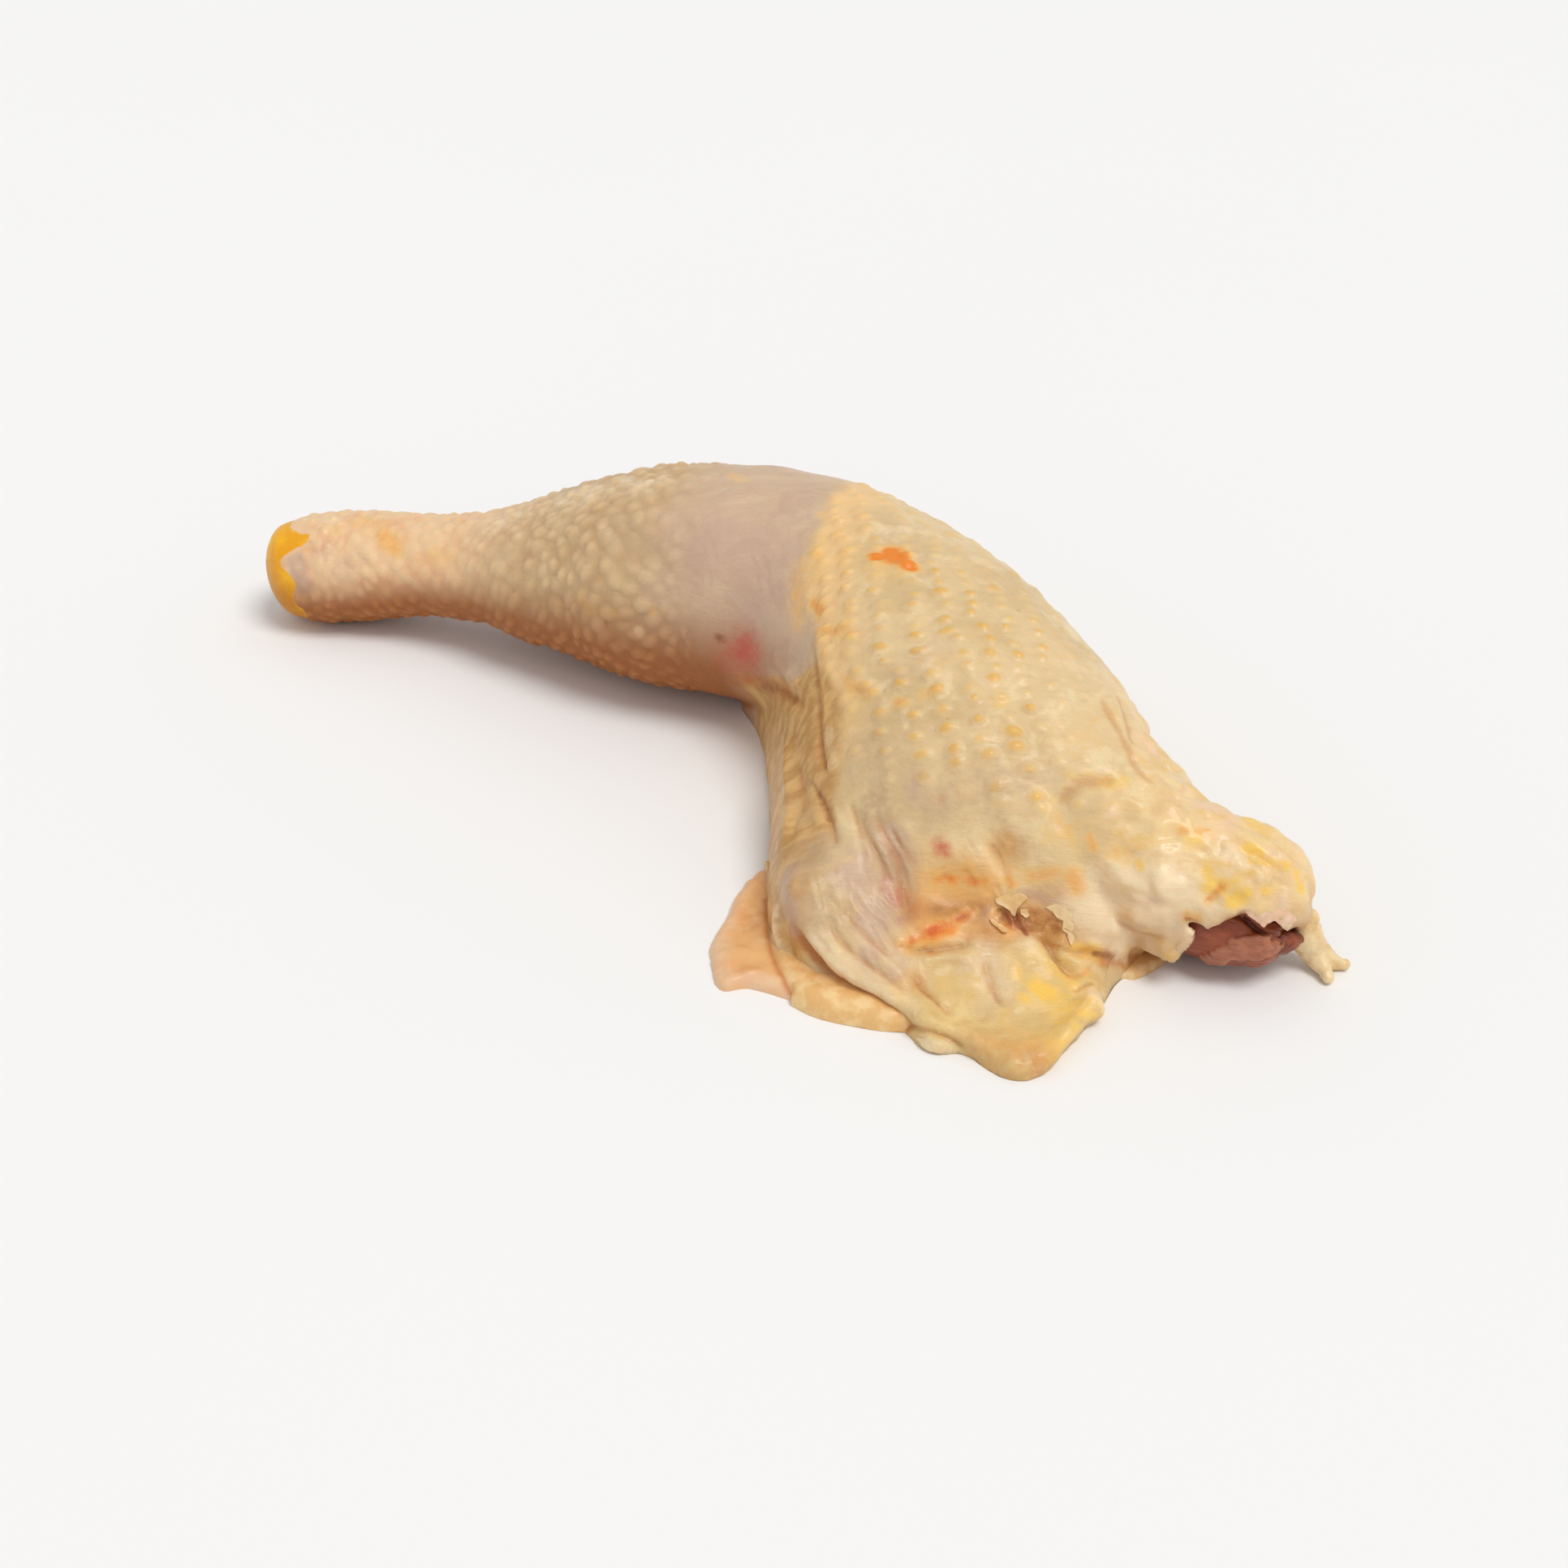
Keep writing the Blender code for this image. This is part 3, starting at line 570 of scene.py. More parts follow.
# Marks on the skin by colour: how far each reaches in drawing units, how strong it is, and its path in pixels
# of the photo.
MARKS = {
    "orange": [
        (2.6, 1.7, [(1084, 688), (1108, 690)]), (2.4, 1.6, [(1098, 680), (1108, 684)]),
        (1.9, 1.6, [(1108, 694), (1124, 700)]), (1.6, 1.2, [(1074, 686)]),
        (4.0, 0.45, [(985, 700), (982, 766)]), (7.0, 0.36, [(1056, 690), (1100, 704)]),
        (2.2, 0.75, [(1003, 745), (1012, 752)]), (1.8, 0.45, [(1005, 682)]), (2.0, 0.4, [(1004, 715)]),
        (2.2, 0.6, [(1014, 780), (1052, 783)]), (1.6, 0.55, [(1018, 812)]),
        (2.0, 0.6, [(1044, 838), (1055, 850)]), (3.0, 0.4, [(1012, 830), (1016, 880)]),
        (2.4, 0.4, [(1030, 885), (1050, 892)]), (2.0, 0.45, [(1012, 632)]),
        (2.4, 0.5, [(1062, 852), (1074, 856)]), (1.6, 0.75, [(1106, 865), (1113, 868)]),
        (1.6, 0.35, [(1048, 630)]), (1.9, 0.6, [(1138, 856), (1150, 852)]),
        (2.0, 0.5, [(1302, 1010), (1315, 1024)]), (1.5, 0.75, [(1341, 1032), (1347, 1044)]),
        (2.2, 0.45, [(1372, 1048), (1388, 1058)]), (2.2, 0.65, [(1270, 1081), (1296, 1077)]),
        (1.8, 0.5, [(1300, 1077), (1328, 1072)]), (2.4, 0.65, [(1321, 1080), (1328, 1094)]),
        (1.6, 0.75, [(1246, 1084), (1250, 1092)]), (2.0, 0.85, [(1166, 1082), (1173, 1085)]),
        (2.8, 0.75, [(1196, 1087), (1208, 1091)]), (8.0, 0.45, [(1160, 1080), (1216, 1086)]),
        (2.6, 0.9, [(1118, 1163), (1146, 1151)]), (2.5, 1.0, [(1140, 1153), (1172, 1140)]),
        (1.8, 0.9, [(1168, 1141), (1194, 1121)]), (4.5, 0.45, [(1110, 1160), (1190, 1128)]),
        (3.4, 0.7, [(1262, 1126), (1300, 1140)]), (1.7, 0.9, [(1281, 1136)]),
        (2.6, 0.75, [(1228, 1128), (1246, 1142)]), (1.2, 0.7, [(1456, 1025), (1488, 1026)]),
        (1.7, 0.65, [(1578, 1047), (1592, 1060)]),
        (1.2, 0.7, [(1488, 1112), (1500, 1100), (1507, 1090)]),
        (1.8, 0.8, [(1462, 1130), (1473, 1132)]), (7.0, 0.35, [(1228, 1294), (1266, 1280)]),
        (3.2, 0.6, [(474, 661), (488, 676)]), (3.6, 0.4, [(414, 652)]),
        (4.4, 0.4, [(446, 640), (464, 652)]), (3.0, 0.35, [(536, 684), (556, 690)]),
        (1.8, 0.5, [(762, 756)]), (1.6, 0.4, [(806, 752)]), (2.0, 0.55, [(1318, 1202), (1338, 1197)]),
        (3.0, 0.4, [(1388, 1120)]), (2.4, 0.45, [(905, 586), (914, 590)]),
        (2.6, 0.4, [(720, 740), (740, 752)]),
    ],
    "red": [
        (2.2, 0.95, [(1157, 1043), (1164, 1048)]), (3.6, 0.55, [(1096, 1092), (1112, 1108)]),
        (2.2, 0.45, [(1110, 1130)]), (4.4, 1.25, [(914, 806)]), (6.5, 0.85, [(908, 816), (922, 800)]),
        (1.7, 0.5, [(1196, 1087)]), (1.8, 0.5, [(1166, 1080)]),
        (2.2, 0.7, [(1248, 1130), (1264, 1142)]), (2.6, 0.45, [(1286, 1134)]),
        (1.2, 0.5, [(1460, 968)]), (1.5, 0.5, [(1163, 986)]), (2.2, 0.35, [(1064, 853)]),
        (2.0, 0.6, [(1136, 1150), (1158, 1143)]), (1.6, 0.6, [(1120, 1157), (1136, 1151)]),
        (1.3, 0.7, [(1164, 1140), (1188, 1124)]), (3.0, 0.3, [(400, 742), (470, 742)]),
    ],
    "yellow": [
        (11.0, 0.32, [(1450, 1006), (1510, 1020), (1580, 1052)]),
        (2.2, 0.35, [(956, 1120), (958, 1150), (968, 1182)]), (2.4, 0.6, [(1352, 967), (1384, 962)]),
        (2.2, 0.5, [(1320, 956), (1338, 956)]), (3.4, 0.4, [(1292, 1030), (1324, 1036)]),
        (1.6, 0.8, [(1536, 1043), (1554, 1053)]), (1.4, 0.75, [(1542, 1057), (1582, 1068)]),
        (2.0, 0.6, [(1486, 1066), (1489, 1094)]), (2.6, 0.8, [(1488, 1095), (1505, 1093)]),
        (2.0, 0.6, [(1522, 1085), (1538, 1078)]), (2.2, 0.9, [(1520, 1110), (1534, 1103)]),
        (2.0, 0.75, [(1560, 1098), (1570, 1096)]), (1.8, 0.65, [(1404, 1065)]),
        (1.8, 0.65, [(1592, 1070), (1600, 1094)]), (2.6, 0.95, [(1278, 1213), (1294, 1224)]),
        (3.4, 0.65, [(1306, 1192), (1328, 1218)]), (2.4, 0.6, [(1262, 1230)]),
        (2.6, 0.65, [(1324, 1168), (1350, 1175)]), (3.0, 0.5, [(1396, 1166), (1418, 1172)]),
        (3.0, 0.5, [(1254, 1202)]), (4.5, 0.35, [(1004, 664), (1012, 700)]),
        (6.0, 0.5, [(1310, 1226), (1322, 1250), (1296, 1284)]),
        (3.0, 0.6, [(1540, 1010), (1560, 1022)]), (3.4, 0.5, [(1470, 1036), (1486, 1030)]),
        (4.0, 0.35, [(1044, 860), (1060, 880)]), (3.0, 0.5, [(1232, 866)]),
        (3.0, 0.5, [(1440, 1160), (1420, 1148)]), (3.2, 0.45, [(1280, 980), (1292, 992)]),
    ],
    "lilac": [
        (9.0, 0.7, [(890, 660), (950, 700), (930, 745)]), (7.0, 0.45, [(820, 640), (860, 700)]),
        (7.0, 0.85, [(1058, 1076), (1080, 1130), (1090, 1176)]),
        (5.0, 0.7, [(976, 1080), (984, 1130)]), (3.0, 0.8, [(1266, 1110), (1292, 1118)]),
        (2.4, 0.7, [(1214, 1124), (1232, 1134)]), (4.0, 0.6, [(1100, 1030), (1118, 1070)]),
        (4.5, 0.35, [(1212, 955), (1284, 964)]), (3.4, 1.0, [(366, 694), (374, 720)]),
        (4.0, 0.55, [(396, 680)]), (5.0, 0.4, [(1120, 960), (1150, 1000)]),
        (3.0, 0.4, [(1572, 1100), (1578, 1116)]), (4.0, 0.45, [(1216, 1176)]),
        (4.0, 0.45, [(420, 700), (440, 690)]), (6.0, 0.35, [(1110, 830), (1160, 800)]),
    ],
    # grey: partly painted shade, on the thigh's lower slope and in the valley left of the hollow, and partly
    # the thin skin's own grey, by the web and on the drumstick.
    "grey": [
        (11.0, 0.45, [(1076, 930), (1110, 980), (1180, 965), (1230, 975)]),
        (5.0, 0.95, [(1082, 990), (1094, 1040), (1116, 1084), (1120, 1124)]),
        (8.0, 0.7, [(1006, 1050), (1014, 1130)]), (7.0, 0.55, [(760, 650), (840, 690)]),
        (6.0, 0.45, [(1190, 1186), (1236, 1206), (1220, 1240)]),
        (5.0, 0.45, [(992, 985), (1000, 1010)]),
    ],
    # cream: the pale fat's own lumps, together with painted light on the lobe's shaded front and painted
    # highlight flecks on the drumstick.
    "cream": [
        (3.0, 0.75, [(960, 1130), (966, 1164), (980, 1186)]),
        (4.0, 0.5, [(1010, 1160), (1040, 1196), (1080, 1226)]),
        (9.0, 1.2, [(1366, 1116), (1404, 1110), (1446, 1116)]),
        (6.0, 1.0, [(1396, 1156), (1444, 1158)]), (3.0, 0.7, [(1510, 1048), (1534, 1060)]),
        (5.0, 0.7, [(1400, 1136), (1424, 1124), (1446, 1146)]),
        (2.6, 0.85, [(1332, 1222), (1348, 1236)]), (2.6, 0.55, [(1204, 1048), (1226, 1074)]),
        (4.0, 0.45, [(1360, 1116)]), (2.8, 0.5, [(1504, 1082), (1512, 1078)]),
        (2.6, 0.6, [(1136, 1284), (1176, 1294)]), (1.2, 1.0, [(789, 776), (790, 781)]),
        (6.0, 0.5, [(1210, 1190), (1230, 1220)]), (4.0, 0.4, [(1342, 1186)]),
        (4.2, 0.4, [(1090, 1222), (1130, 1246)]), (8.0, 0.2, [(1300, 870), (1340, 940)]),
        (10.0, 0.45, [(600, 650), (700, 612), (800, 592)]), (6.0, 0.4, [(1100, 660)]),
        (5.0, 0.45, [(385, 640), (420, 648)]), (2.6, 0.45, [(1024, 900), (1030, 940)]),
        (1.3, 0.8, [(1464, 1142), (1472, 1154), (1464, 1168), (1455, 1178)]),
        (5.0, 0.5, [(1400, 1080), (1416, 1110)]),
        (1.2, 0.8, [(1540, 1126), (1552, 1138), (1560, 1138)]),
        (1.2, 0.7, [(1578, 1138), (1586, 1147), (1594, 1138)]), (3.0, 0.5, [(745, 655)]),
        (3.0, 0.4, [(1268, 1160)]), (3.2, 0.45, [(1560, 1080), (1584, 1100)]),
    ],
    # warm: painted shade with warm reflected light, in the hollow, along the creases and on the low sides of
    # the lobe, flap and knee.
    "warm": [
        (6.5, 1.0, [(1140, 1122), (1206, 1122), (1240, 1130)]),
        (4.0, 1.2, [(1246, 1126), (1276, 1130), (1306, 1146)]), (5.0, 0.55, [(1240, 1046)]),
        (1.6, 1.2, [(984, 1142), (1004, 1178), (1024, 1200), (1056, 1222), (1090, 1244), (1118, 1264)]),
        (5.0, 0.5, [(1336, 1150), (1420, 1168)]),
        (2.2, 1.0, [(1340, 1172), (1366, 1181), (1400, 1185), (1440, 1186)]),
        (8.0, 0.6, [(1220, 1300), (1272, 1300)]),
        (1.4, 0.8, [(944, 1092), (945, 1140), (954, 1174), (966, 1192)]),
        (4.0, 0.45, [(1290, 1106), (1330, 1096)]), (3.0, 0.5, [(1012, 850), (1010, 940)]),
        (5.0, 0.5, [(1130, 1210)]), (3.0, 0.6, [(1110, 1166), (1150, 1166)]),
        (6.0, 0.6, [(1150, 1096), (1200, 1086)]), (4.0, 0.6, [(1122, 1168), (1180, 1140)]),
        (3.4, 0.6, [(906, 840), (960, 848)]), (2.6, 0.6, [(1386, 1128), (1390, 1150), (1404, 1168)]),
    ],
    # brown: painted shade along creases, folds and slits, and a few real dark specks and a small hole.
    "brown": [
        (4.0, 0.5, [(1160, 1120), (1204, 1121)]), (1.8, 0.6, [(934, 852), (956, 850), (978, 862)]),
        (1.0, 0.6, [(1284, 1148), (1304, 1178), (1318, 1196)]),
        (1.0, 0.75, [(1350, 1176), (1380, 1181), (1440, 1180)]),
        (0.9, 0.65, [(1110, 1166), (1150, 1168)]), (0.9, 0.5, [(1226, 1222), (1236, 1238)]),
        (1.0, 0.5, [(1138, 1218), (1156, 1236)]), (1.2, 0.8, [(884, 785), (893, 790)]),
        (1.0, 0.55, [(1006, 800), (1013, 850), (1016, 900), (1018, 945)]), (0.7, 0.8, [(1254, 754)]),
        (0.6, 0.5, [(1274, 767)]), (0.6, 0.6, [(1168, 887)]), (0.9, 0.5, [(1092, 852)]),
        (0.6, 1.2, [(1258, 1118), (1261, 1136), (1267, 1150)]),
        (3.4, 0.75, [(1240, 1126), (1266, 1132), (1298, 1142)]),
        (1.6, 0.35, [(1096, 1050), (1116, 1092)]), (0.8, 0.8, [(1462, 1133), (1472, 1135)]),
        (1.0, 0.6, [(1002, 960), (1014, 990), (1020, 1010)]), (1.4, 0.45, [(984, 950), (990, 1000)]),
    ],
}


def unit_way(way):
    """The direction as a vector of length one."""
    way = np.array(way, float)
    return way / np.linalg.norm(way)


def in_egg(points, middle, sizes):
    """1 in the middle of the ellipsoid, fading smoothly to 0 at its surface."""
    off = np.linalg.norm((points - np.array(middle)) / np.array(sizes), axis=1)
    return ease_between(1 - off, 0.0, EGG_FADE)


def share_of(name, points, noise=0.0):
    """1 inside the edges of that name, 0 outside, and a smooth step across each."""
    share = 1.0
    for weights, wander, begins, complete in EDGES[name]:
        share = share * ease_between(points @ np.array(weights) + wander * noise, begins, complete)
    return share


def camera_axes():
    """The camera's right, down and ahead."""
    pitch, yaw = math.radians(CAMERA_PITCH), math.radians(CAMERA_YAW)
    ahead = np.array((-math.cos(pitch) * math.sin(yaw), math.cos(pitch) * math.cos(yaw), -math.sin(pitch)))
    right = np.array((math.cos(yaw), math.sin(yaw), 0.0))
    return right, np.cross(ahead, right), ahead


def seen_at(tree, spots, keep_misses=False):
    """The points of the skin that show at those spots of the photo: where rays from the camera meet it.

    A spot whose ray misses the skin is left out, or kept as not-a-number if asked.
    """
    right, down, ahead = camera_axes()
    eye = ((np.array(CAMERA_PLACE) + CENTRE_SHIFT) * UNIT).tolist()
    hits = []
    for across, below in spots:
        way = (across - PHOTO_SIDE / 2) * right + (below - PHOTO_SIDE / 2) * down + EYE_TO_PHOTO * ahead
        hit = tree.ray_cast(eye, way.tolist())[0]
        if hit is not None:
            hits.append(tuple(hit))
        elif keep_misses:
            hits.append((math.nan,) * 3)
    return np.array(hits).reshape(-1, 3) / UNIT - CENTRE_SHIFT


def along_skin(tree, spots):
    """A smooth path on the skin through the spots of the photo: its points at even steps, and its ways."""
    hits = seen_at(tree, spots)
    if len(hits) < 2:
        return hits, np.zeros((len(hits), 3))
    rows, ways = along_path(hits, PATH_STEP)
    metres = (rows + CENTRE_SHIFT) * UNIT
    rows = np.array([tuple(tree.find_nearest(row)[0]) for row in metres.tolist()]) / UNIT - CENTRE_SHIFT
    return rows, ways


def near_path(points, rows, reach):
    """Which points are near the path, and for each of them its nearest row and how far it is from it."""
    near = np.all((points > rows.min(0) - reach) & (points < rows.max(0) + reach), axis=1).nonzero()[0]
    best, nearest = np.full(len(near), np.inf), np.zeros(len(near), int)
    for number, row in enumerate(rows):
        square = ((points[near] - row) ** 2).sum(1)
        closer = square < best
        best[closer], nearest[closer] = square[closer], number
    return near, nearest, np.sqrt(best)


def marks_of(points, tree, name):
    """Strength of one kind of mark at each point: the strongest of its paths, each a smooth bell."""
    strength = np.zeros(len(points))
    for reach, strong, spots in MARKS[name]:
        rows, _ = along_skin(tree, spots)
        near, _, distance = near_path(points, rows, MARK_LIMIT * reach)
        strength[near] = np.maximum(strength[near], strong * np.exp(-((distance / reach) ** 2)))
    return strength


def fold_relief(points, normals, tree):
    """Height of all folds at each point, and how deep in a crease it lies.

    Each fold's height falls off with the distance from its path, and eases to nothing at both ends.
    """
    height, crease = np.zeros(len(points)), np.zeros(len(points))
    for kind, width, high, spots in FOLDS:
        rows, ways = along_skin(tree, spots)
        limit = FOLD_LIMIT * (STEP_REACH if kind == "step" else width)
        near, nearest, distance = near_path(points, rows, limit)
        share = nearest / (len(rows) - 1)
        ends = ease_between(share, 0.0, FOLD_ENDS) * ease_between(1 - share, 0.0, FOLD_ENDS)
        if kind == "step":
            right_of = np.cross(normals[near], ways[nearest])
            side = (right_of * (points[near] - rows[nearest])).sum(1)
            fade = np.exp(-((distance / STEP_REACH) ** 2))
            height[near] += high * ends * (1 + np.tanh(side / width)) / 2 * fade
        elif kind == "ridge":
            height[near] += high * ends * np.exp(-((distance / width) ** 2))
        else:
            depth = ends * np.exp(-((distance / width) ** CREASE_POWER))
            height[near] -= high * depth
            crease[near] = np.maximum(crease[near], depth)
    return height, crease


def swelling_relief(points, tree):
    """Height of the broad swellings and hollows, each a smooth bell."""
    height = np.zeros(len(points))
    for reach, high, spot in SWELLINGS:
        for middle in seen_at(tree, [spot]):
            height += high * np.exp(-(((points - middle) ** 2).sum(1)) / reach**2)
    return height


def wrinkle_relief(points, tree):
    """Height of the fine wrinkles: noise stretched along each area's own direction."""
    height = np.zeros(len(points))
    for number, (spot, way, reach, apart, long, high) in enumerate(WRINKLES):
        ends = seen_at(tree, [np.array(spot) - way, spot, np.array(spot) + way])
        way = unit_way(ends[-1] - ends[0])
        side = unit_way(np.cross(way, WRINKLES_OUTWARD))
        near = (np.abs(points - ends[1]).max(1) < reach).nonzero()[0]
        spots = points[near]
        out = np.cross(way, side)
        turned = np.stack([spots @ way / long, spots @ side / apart, spots @ out / apart], -1)
        turned += WRINKLES_BEND * lumps(spots, WRINKLES_BEND_SIZE, WRINKLES_SEEDS[0] + number)[:, None]
        ridges = 1 - 2 * np.abs(lumps(turned, 1.0, WRINKLES_SEEDS[1] + number))
        height[near] += high * ridges * in_egg(spots, ends[1], (reach, reach, reach))
    return height


def leg_place(points):
    """For each point: how far along the leg it is, and how far round it from the crest.

    The foot of the point on the bone's line is found by stepping along the line, from the point's x. Round
    the drumstick the second number is an arc, and on the thigh it is the straight distance from the crest.
    """
    rows, ways = along_path(LEG_STATIONS, PATH_STEP)
    length = np.concatenate([[0], np.cumsum(np.linalg.norm(np.diff(rows[:, :3], axis=0), axis=1))])

    def at(place, columns):
        return np.stack([np.interp(place, length, column) for column in columns.T], -1)

    along = np.interp(points[:, 0], rows[:, 0], length)
    for _ in range(FOOT_ROUNDS):
        way = at(along, ways)
        off = points - at(along, rows[:, :3])
        along = np.clip(along + (off * way).sum(1), 0, length[-1])
    side = np.cross((0, 0, 1), way)
    side /= np.linalg.norm(side, axis=1)[:, None]
    across = (off * side).sum(1)
    above = (off * np.cross(way, side)).sum(1)
    radius = at(along, rows[:, 5:6])[:, 0]
    arc = np.arctan2(across, above) * radius
    chord = np.sign(across) * np.hypot(across, np.clip(radius - above, 0, None))
    thigh = share_of("past knee", points)
    return along, arc * (1 - thigh) + chord * thigh


def bumps(along, around, kind, seed):
    """Height from 0 to 1 of follicle bumps in rows, each moved and sized a little at random."""
    apart_along, apart_round, size_along, size_round, off_place, stagger, _ = kind
    height = np.zeros(len(along))
    for shift in (0.0, 0.5):
        a, b = along / apart_along + shift, around / apart_round + 2 * shift * stagger
        cell = np.stack([np.floor(a), np.floor(b)], -1).astype(np.int64)
        draws = [scramble(cell, seed + SEEDS_APART * draw + int(2 * shift)) for draw in range(4)]
        size = 1 + BUMP_SIZES * draws[2]
        from_a = (a - cell[:, 0] - 0.5 - off_place * draws[0]) * apart_along / (size_along * size)
        from_b = (b - cell[:, 1] - 0.5 - off_place * draws[1]) * apart_round / (size_round * size)
        dome = ease_between(1 - np.hypot(from_a, from_b), 0.0, BUMP_SLOPE)
        height = np.maximum(height, dome * (1 - BUMP_HEIGHTS + BUMP_HEIGHTS * draws[3]))
    return height


def skin_zones(points):
    """Share from 0 to 1 that each kind of skin has at each point, as one array for each zone's name."""
    x, y, z = points.T
    noise = lumps(points, *ZONE_NOISE)
    past_edge = x - np.interp(y, *np.array(THIGH_EDGE, float).T) + THIGH_EDGE_WANDER * noise
    edge_width = THIGH_EDGE_WIDTH + THIGH_EDGE_WIDENING * ease_between(z, *THIGH_EDGE_HEIGHTS)
    thigh = ease_between(past_edge / edge_width, -1, 1)
    tongue = TONGUE_LENGTH * np.exp(-(((z - TONGUE_HEIGHT) / TONGUE_WIDTH) ** 2))
    outwards = -(x + CAP_FROM + tongue) + CAP_WANDER * noise
    below_top = CAP_TOP - z + CAP_TOP_WANDER * noise
    return {
        "thigh": thigh,
        "knee": (1 - thigh) * share_of("knee", points, noise),
        "band": thigh * np.exp(-((past_edge / BAND_REACH) ** 2)) * share_of("band", points),
        "web": share_of("web", points, noise) * (1 - ease_between(past_edge, 0.0, WEB_REACH)),
        "end": share_of("end", points, noise),
        "hock": share_of("hock", points),
        "cap": ease_between(outwards, -CAP_SOFTNESS, CAP_SOFTNESS)
        * ease_between(below_top, -CAP_SOFTNESS, CAP_SOFTNESS),
    }


def follicle_cover(points, zones):
    """How strongly follicles stand out on the drumstick and on the thigh, fading towards the knee and end."""
    noise = lumps(points, *FOLLICLE_NOISE)
    drumstick = (1 - share_of("no drumstick bumps", points, noise)) * (1 - zones["cap"])
    drumstick *= 1 - LOWER_ON_HOCK * zones["hock"]
    thigh = zones["thigh"] * share_of("thigh bumps", points, noise) * (1 - zones["web"])
    return drumstick, thigh * (1 - LOWER_ON_THIGH * share_of("lower thigh bumps", points))


def skin_relief_broad(points, zones, folds, tree):
    """Heights of the folds, the wrinkles, the lumps of the fatty end, the torn place and the uneven hem."""
    height = folds + swelling_relief(points, tree) + wrinkle_relief(points, tree)
    height += unevenness(points, SKIN_LUMPS)
    height += zones["end"] * unevenness(points * FAT_STRETCH, FAT_LUMPS)
    height += in_egg(points, TORN_MIDDLE, TORN_SIZES) * unevenness(points, TORN_LUMPS)
    return height + share_of("uneven hem", points) * unevenness(points, HEM_LUMPS)


def follicle_domes(points, zones):
    """Follicle bumps of the drumstick and of the thigh, each from 0 to 1, in rows that sway a little."""
    along, around = leg_place(points)
    along = along + ROWS_SWAY * lumps(points, ROWS_SWAY_SIZE, ROWS_SWAY_SEEDS[0])
    around = around + ROWS_SWAY * lumps(points, ROWS_SWAY_SIZE, ROWS_SWAY_SEEDS[1])
    on_drumstick, on_thigh = follicle_cover(points, zones)
    c, s = math.cos(THIGH_ROWS_TURN), math.sin(THIGH_ROWS_TURN)
    thigh_domes = bumps(along * c - around * s, along * s + around * c, THIGH_BUMPS, THIGH_SEED)
    return on_drumstick * bumps(along, around, DRUMSTICK_BUMPS, DRUMSTICK_SEED), on_thigh * thigh_domes


def skin_relief_fine(points, domes):
    """Heights of the follicle bumps, with a slight grain between them."""
    on_drumstick, on_thigh = domes
    return DRUMSTICK_BUMPS[-1] * on_drumstick + THIGH_BUMPS[-1] * on_thigh + unevenness(points, GRAIN)


def new_object(name, shells):
    """A mesh object of one or more closed shells, each given as points in drawing units and faces."""
    points, faces, start = [], [], 0
    for shell_points, shell_faces in shells:
        points.append((np.asarray(shell_points) + CENTRE_SHIFT) * UNIT)
        faces += [[corner + start for corner in face] for face in shell_faces]
        start += len(shell_points)
    mesh = bpy.data.meshes.new(name)
    mesh.from_pydata(np.concatenate(points).tolist(), [], faces)
    work = bmesh.new()
    work.from_mesh(mesh)
    bmesh.ops.recalc_face_normals(work, faces=work.faces)
    work.to_mesh(mesh)
    work.free()
    obj = bpy.data.objects.new(name, mesh)
    bpy.context.scene.collection.objects.link(obj)
    return obj


def apply_modifiers(obj):
    """Replaces the object's mesh with the one that its modifiers make."""
    graph = bpy.context.evaluated_depsgraph_get()
    made = bpy.data.meshes.new_from_object(obj.evaluated_get(graph))
    obj.modifiers.clear()
    obj.data = made


def fuse(obj, voxel, rounds):
    """Fuses the object's overlapping shells into one skin of small squares, and softens it."""
    remesh = obj.modifiers.new("fuse", "REMESH")
    remesh.mode = "VOXEL"
    remesh.voxel_size = voxel
    soften = obj.modifiers.new("soften", "SMOOTH")
    soften.factor = SOFTENING
    soften.iterations = rounds
    apply_modifiers(obj)


def thin(obj, triangles):
    """Thins the object to about so many triangles, fewest where it is flat."""
    count = sum(len(p.vertices) - 2 for p in obj.data.polygons)
    if count > triangles:
        thinning = obj.modifiers.new("thin", "DECIMATE")
        thinning.ratio = triangles / count
        apply_modifiers(obj)


def trim_flat(obj):
    """Cuts off what is below z = 0 and closes the cut with a flat face."""
    work = bmesh.new()
    work.from_mesh(obj.data)
    whole = work.verts[:] + work.edges[:] + work.faces[:]
    cut = bmesh.ops.bisect_plane(
        work, geom=whole, dist=TINY, plane_co=(0, 0, 0), plane_no=(0, 0, 1), clear_inner=True
    )
    edges = [g for g in cut["geom_cut"] if isinstance(g, bmesh.types.BMEdge)]
    bmesh.ops.triangle_fill(work, edges=edges, use_beauty=True, normal=(0, 0, -1))
    bmesh.ops.recalc_face_normals(work, faces=work.faces)
    work.to_mesh(obj.data)
    work.free()


def cut_away(obj, cutter):
    """Takes the cutter's space out of the object, and removes the cutter."""
    cut = obj.modifiers.new("cut", "BOOLEAN")
    cut.operation = "DIFFERENCE"
    cut.solver = "EXACT"
    cut.object = cutter
    apply_modifiers(obj)
    bpy.data.objects.remove(cutter)


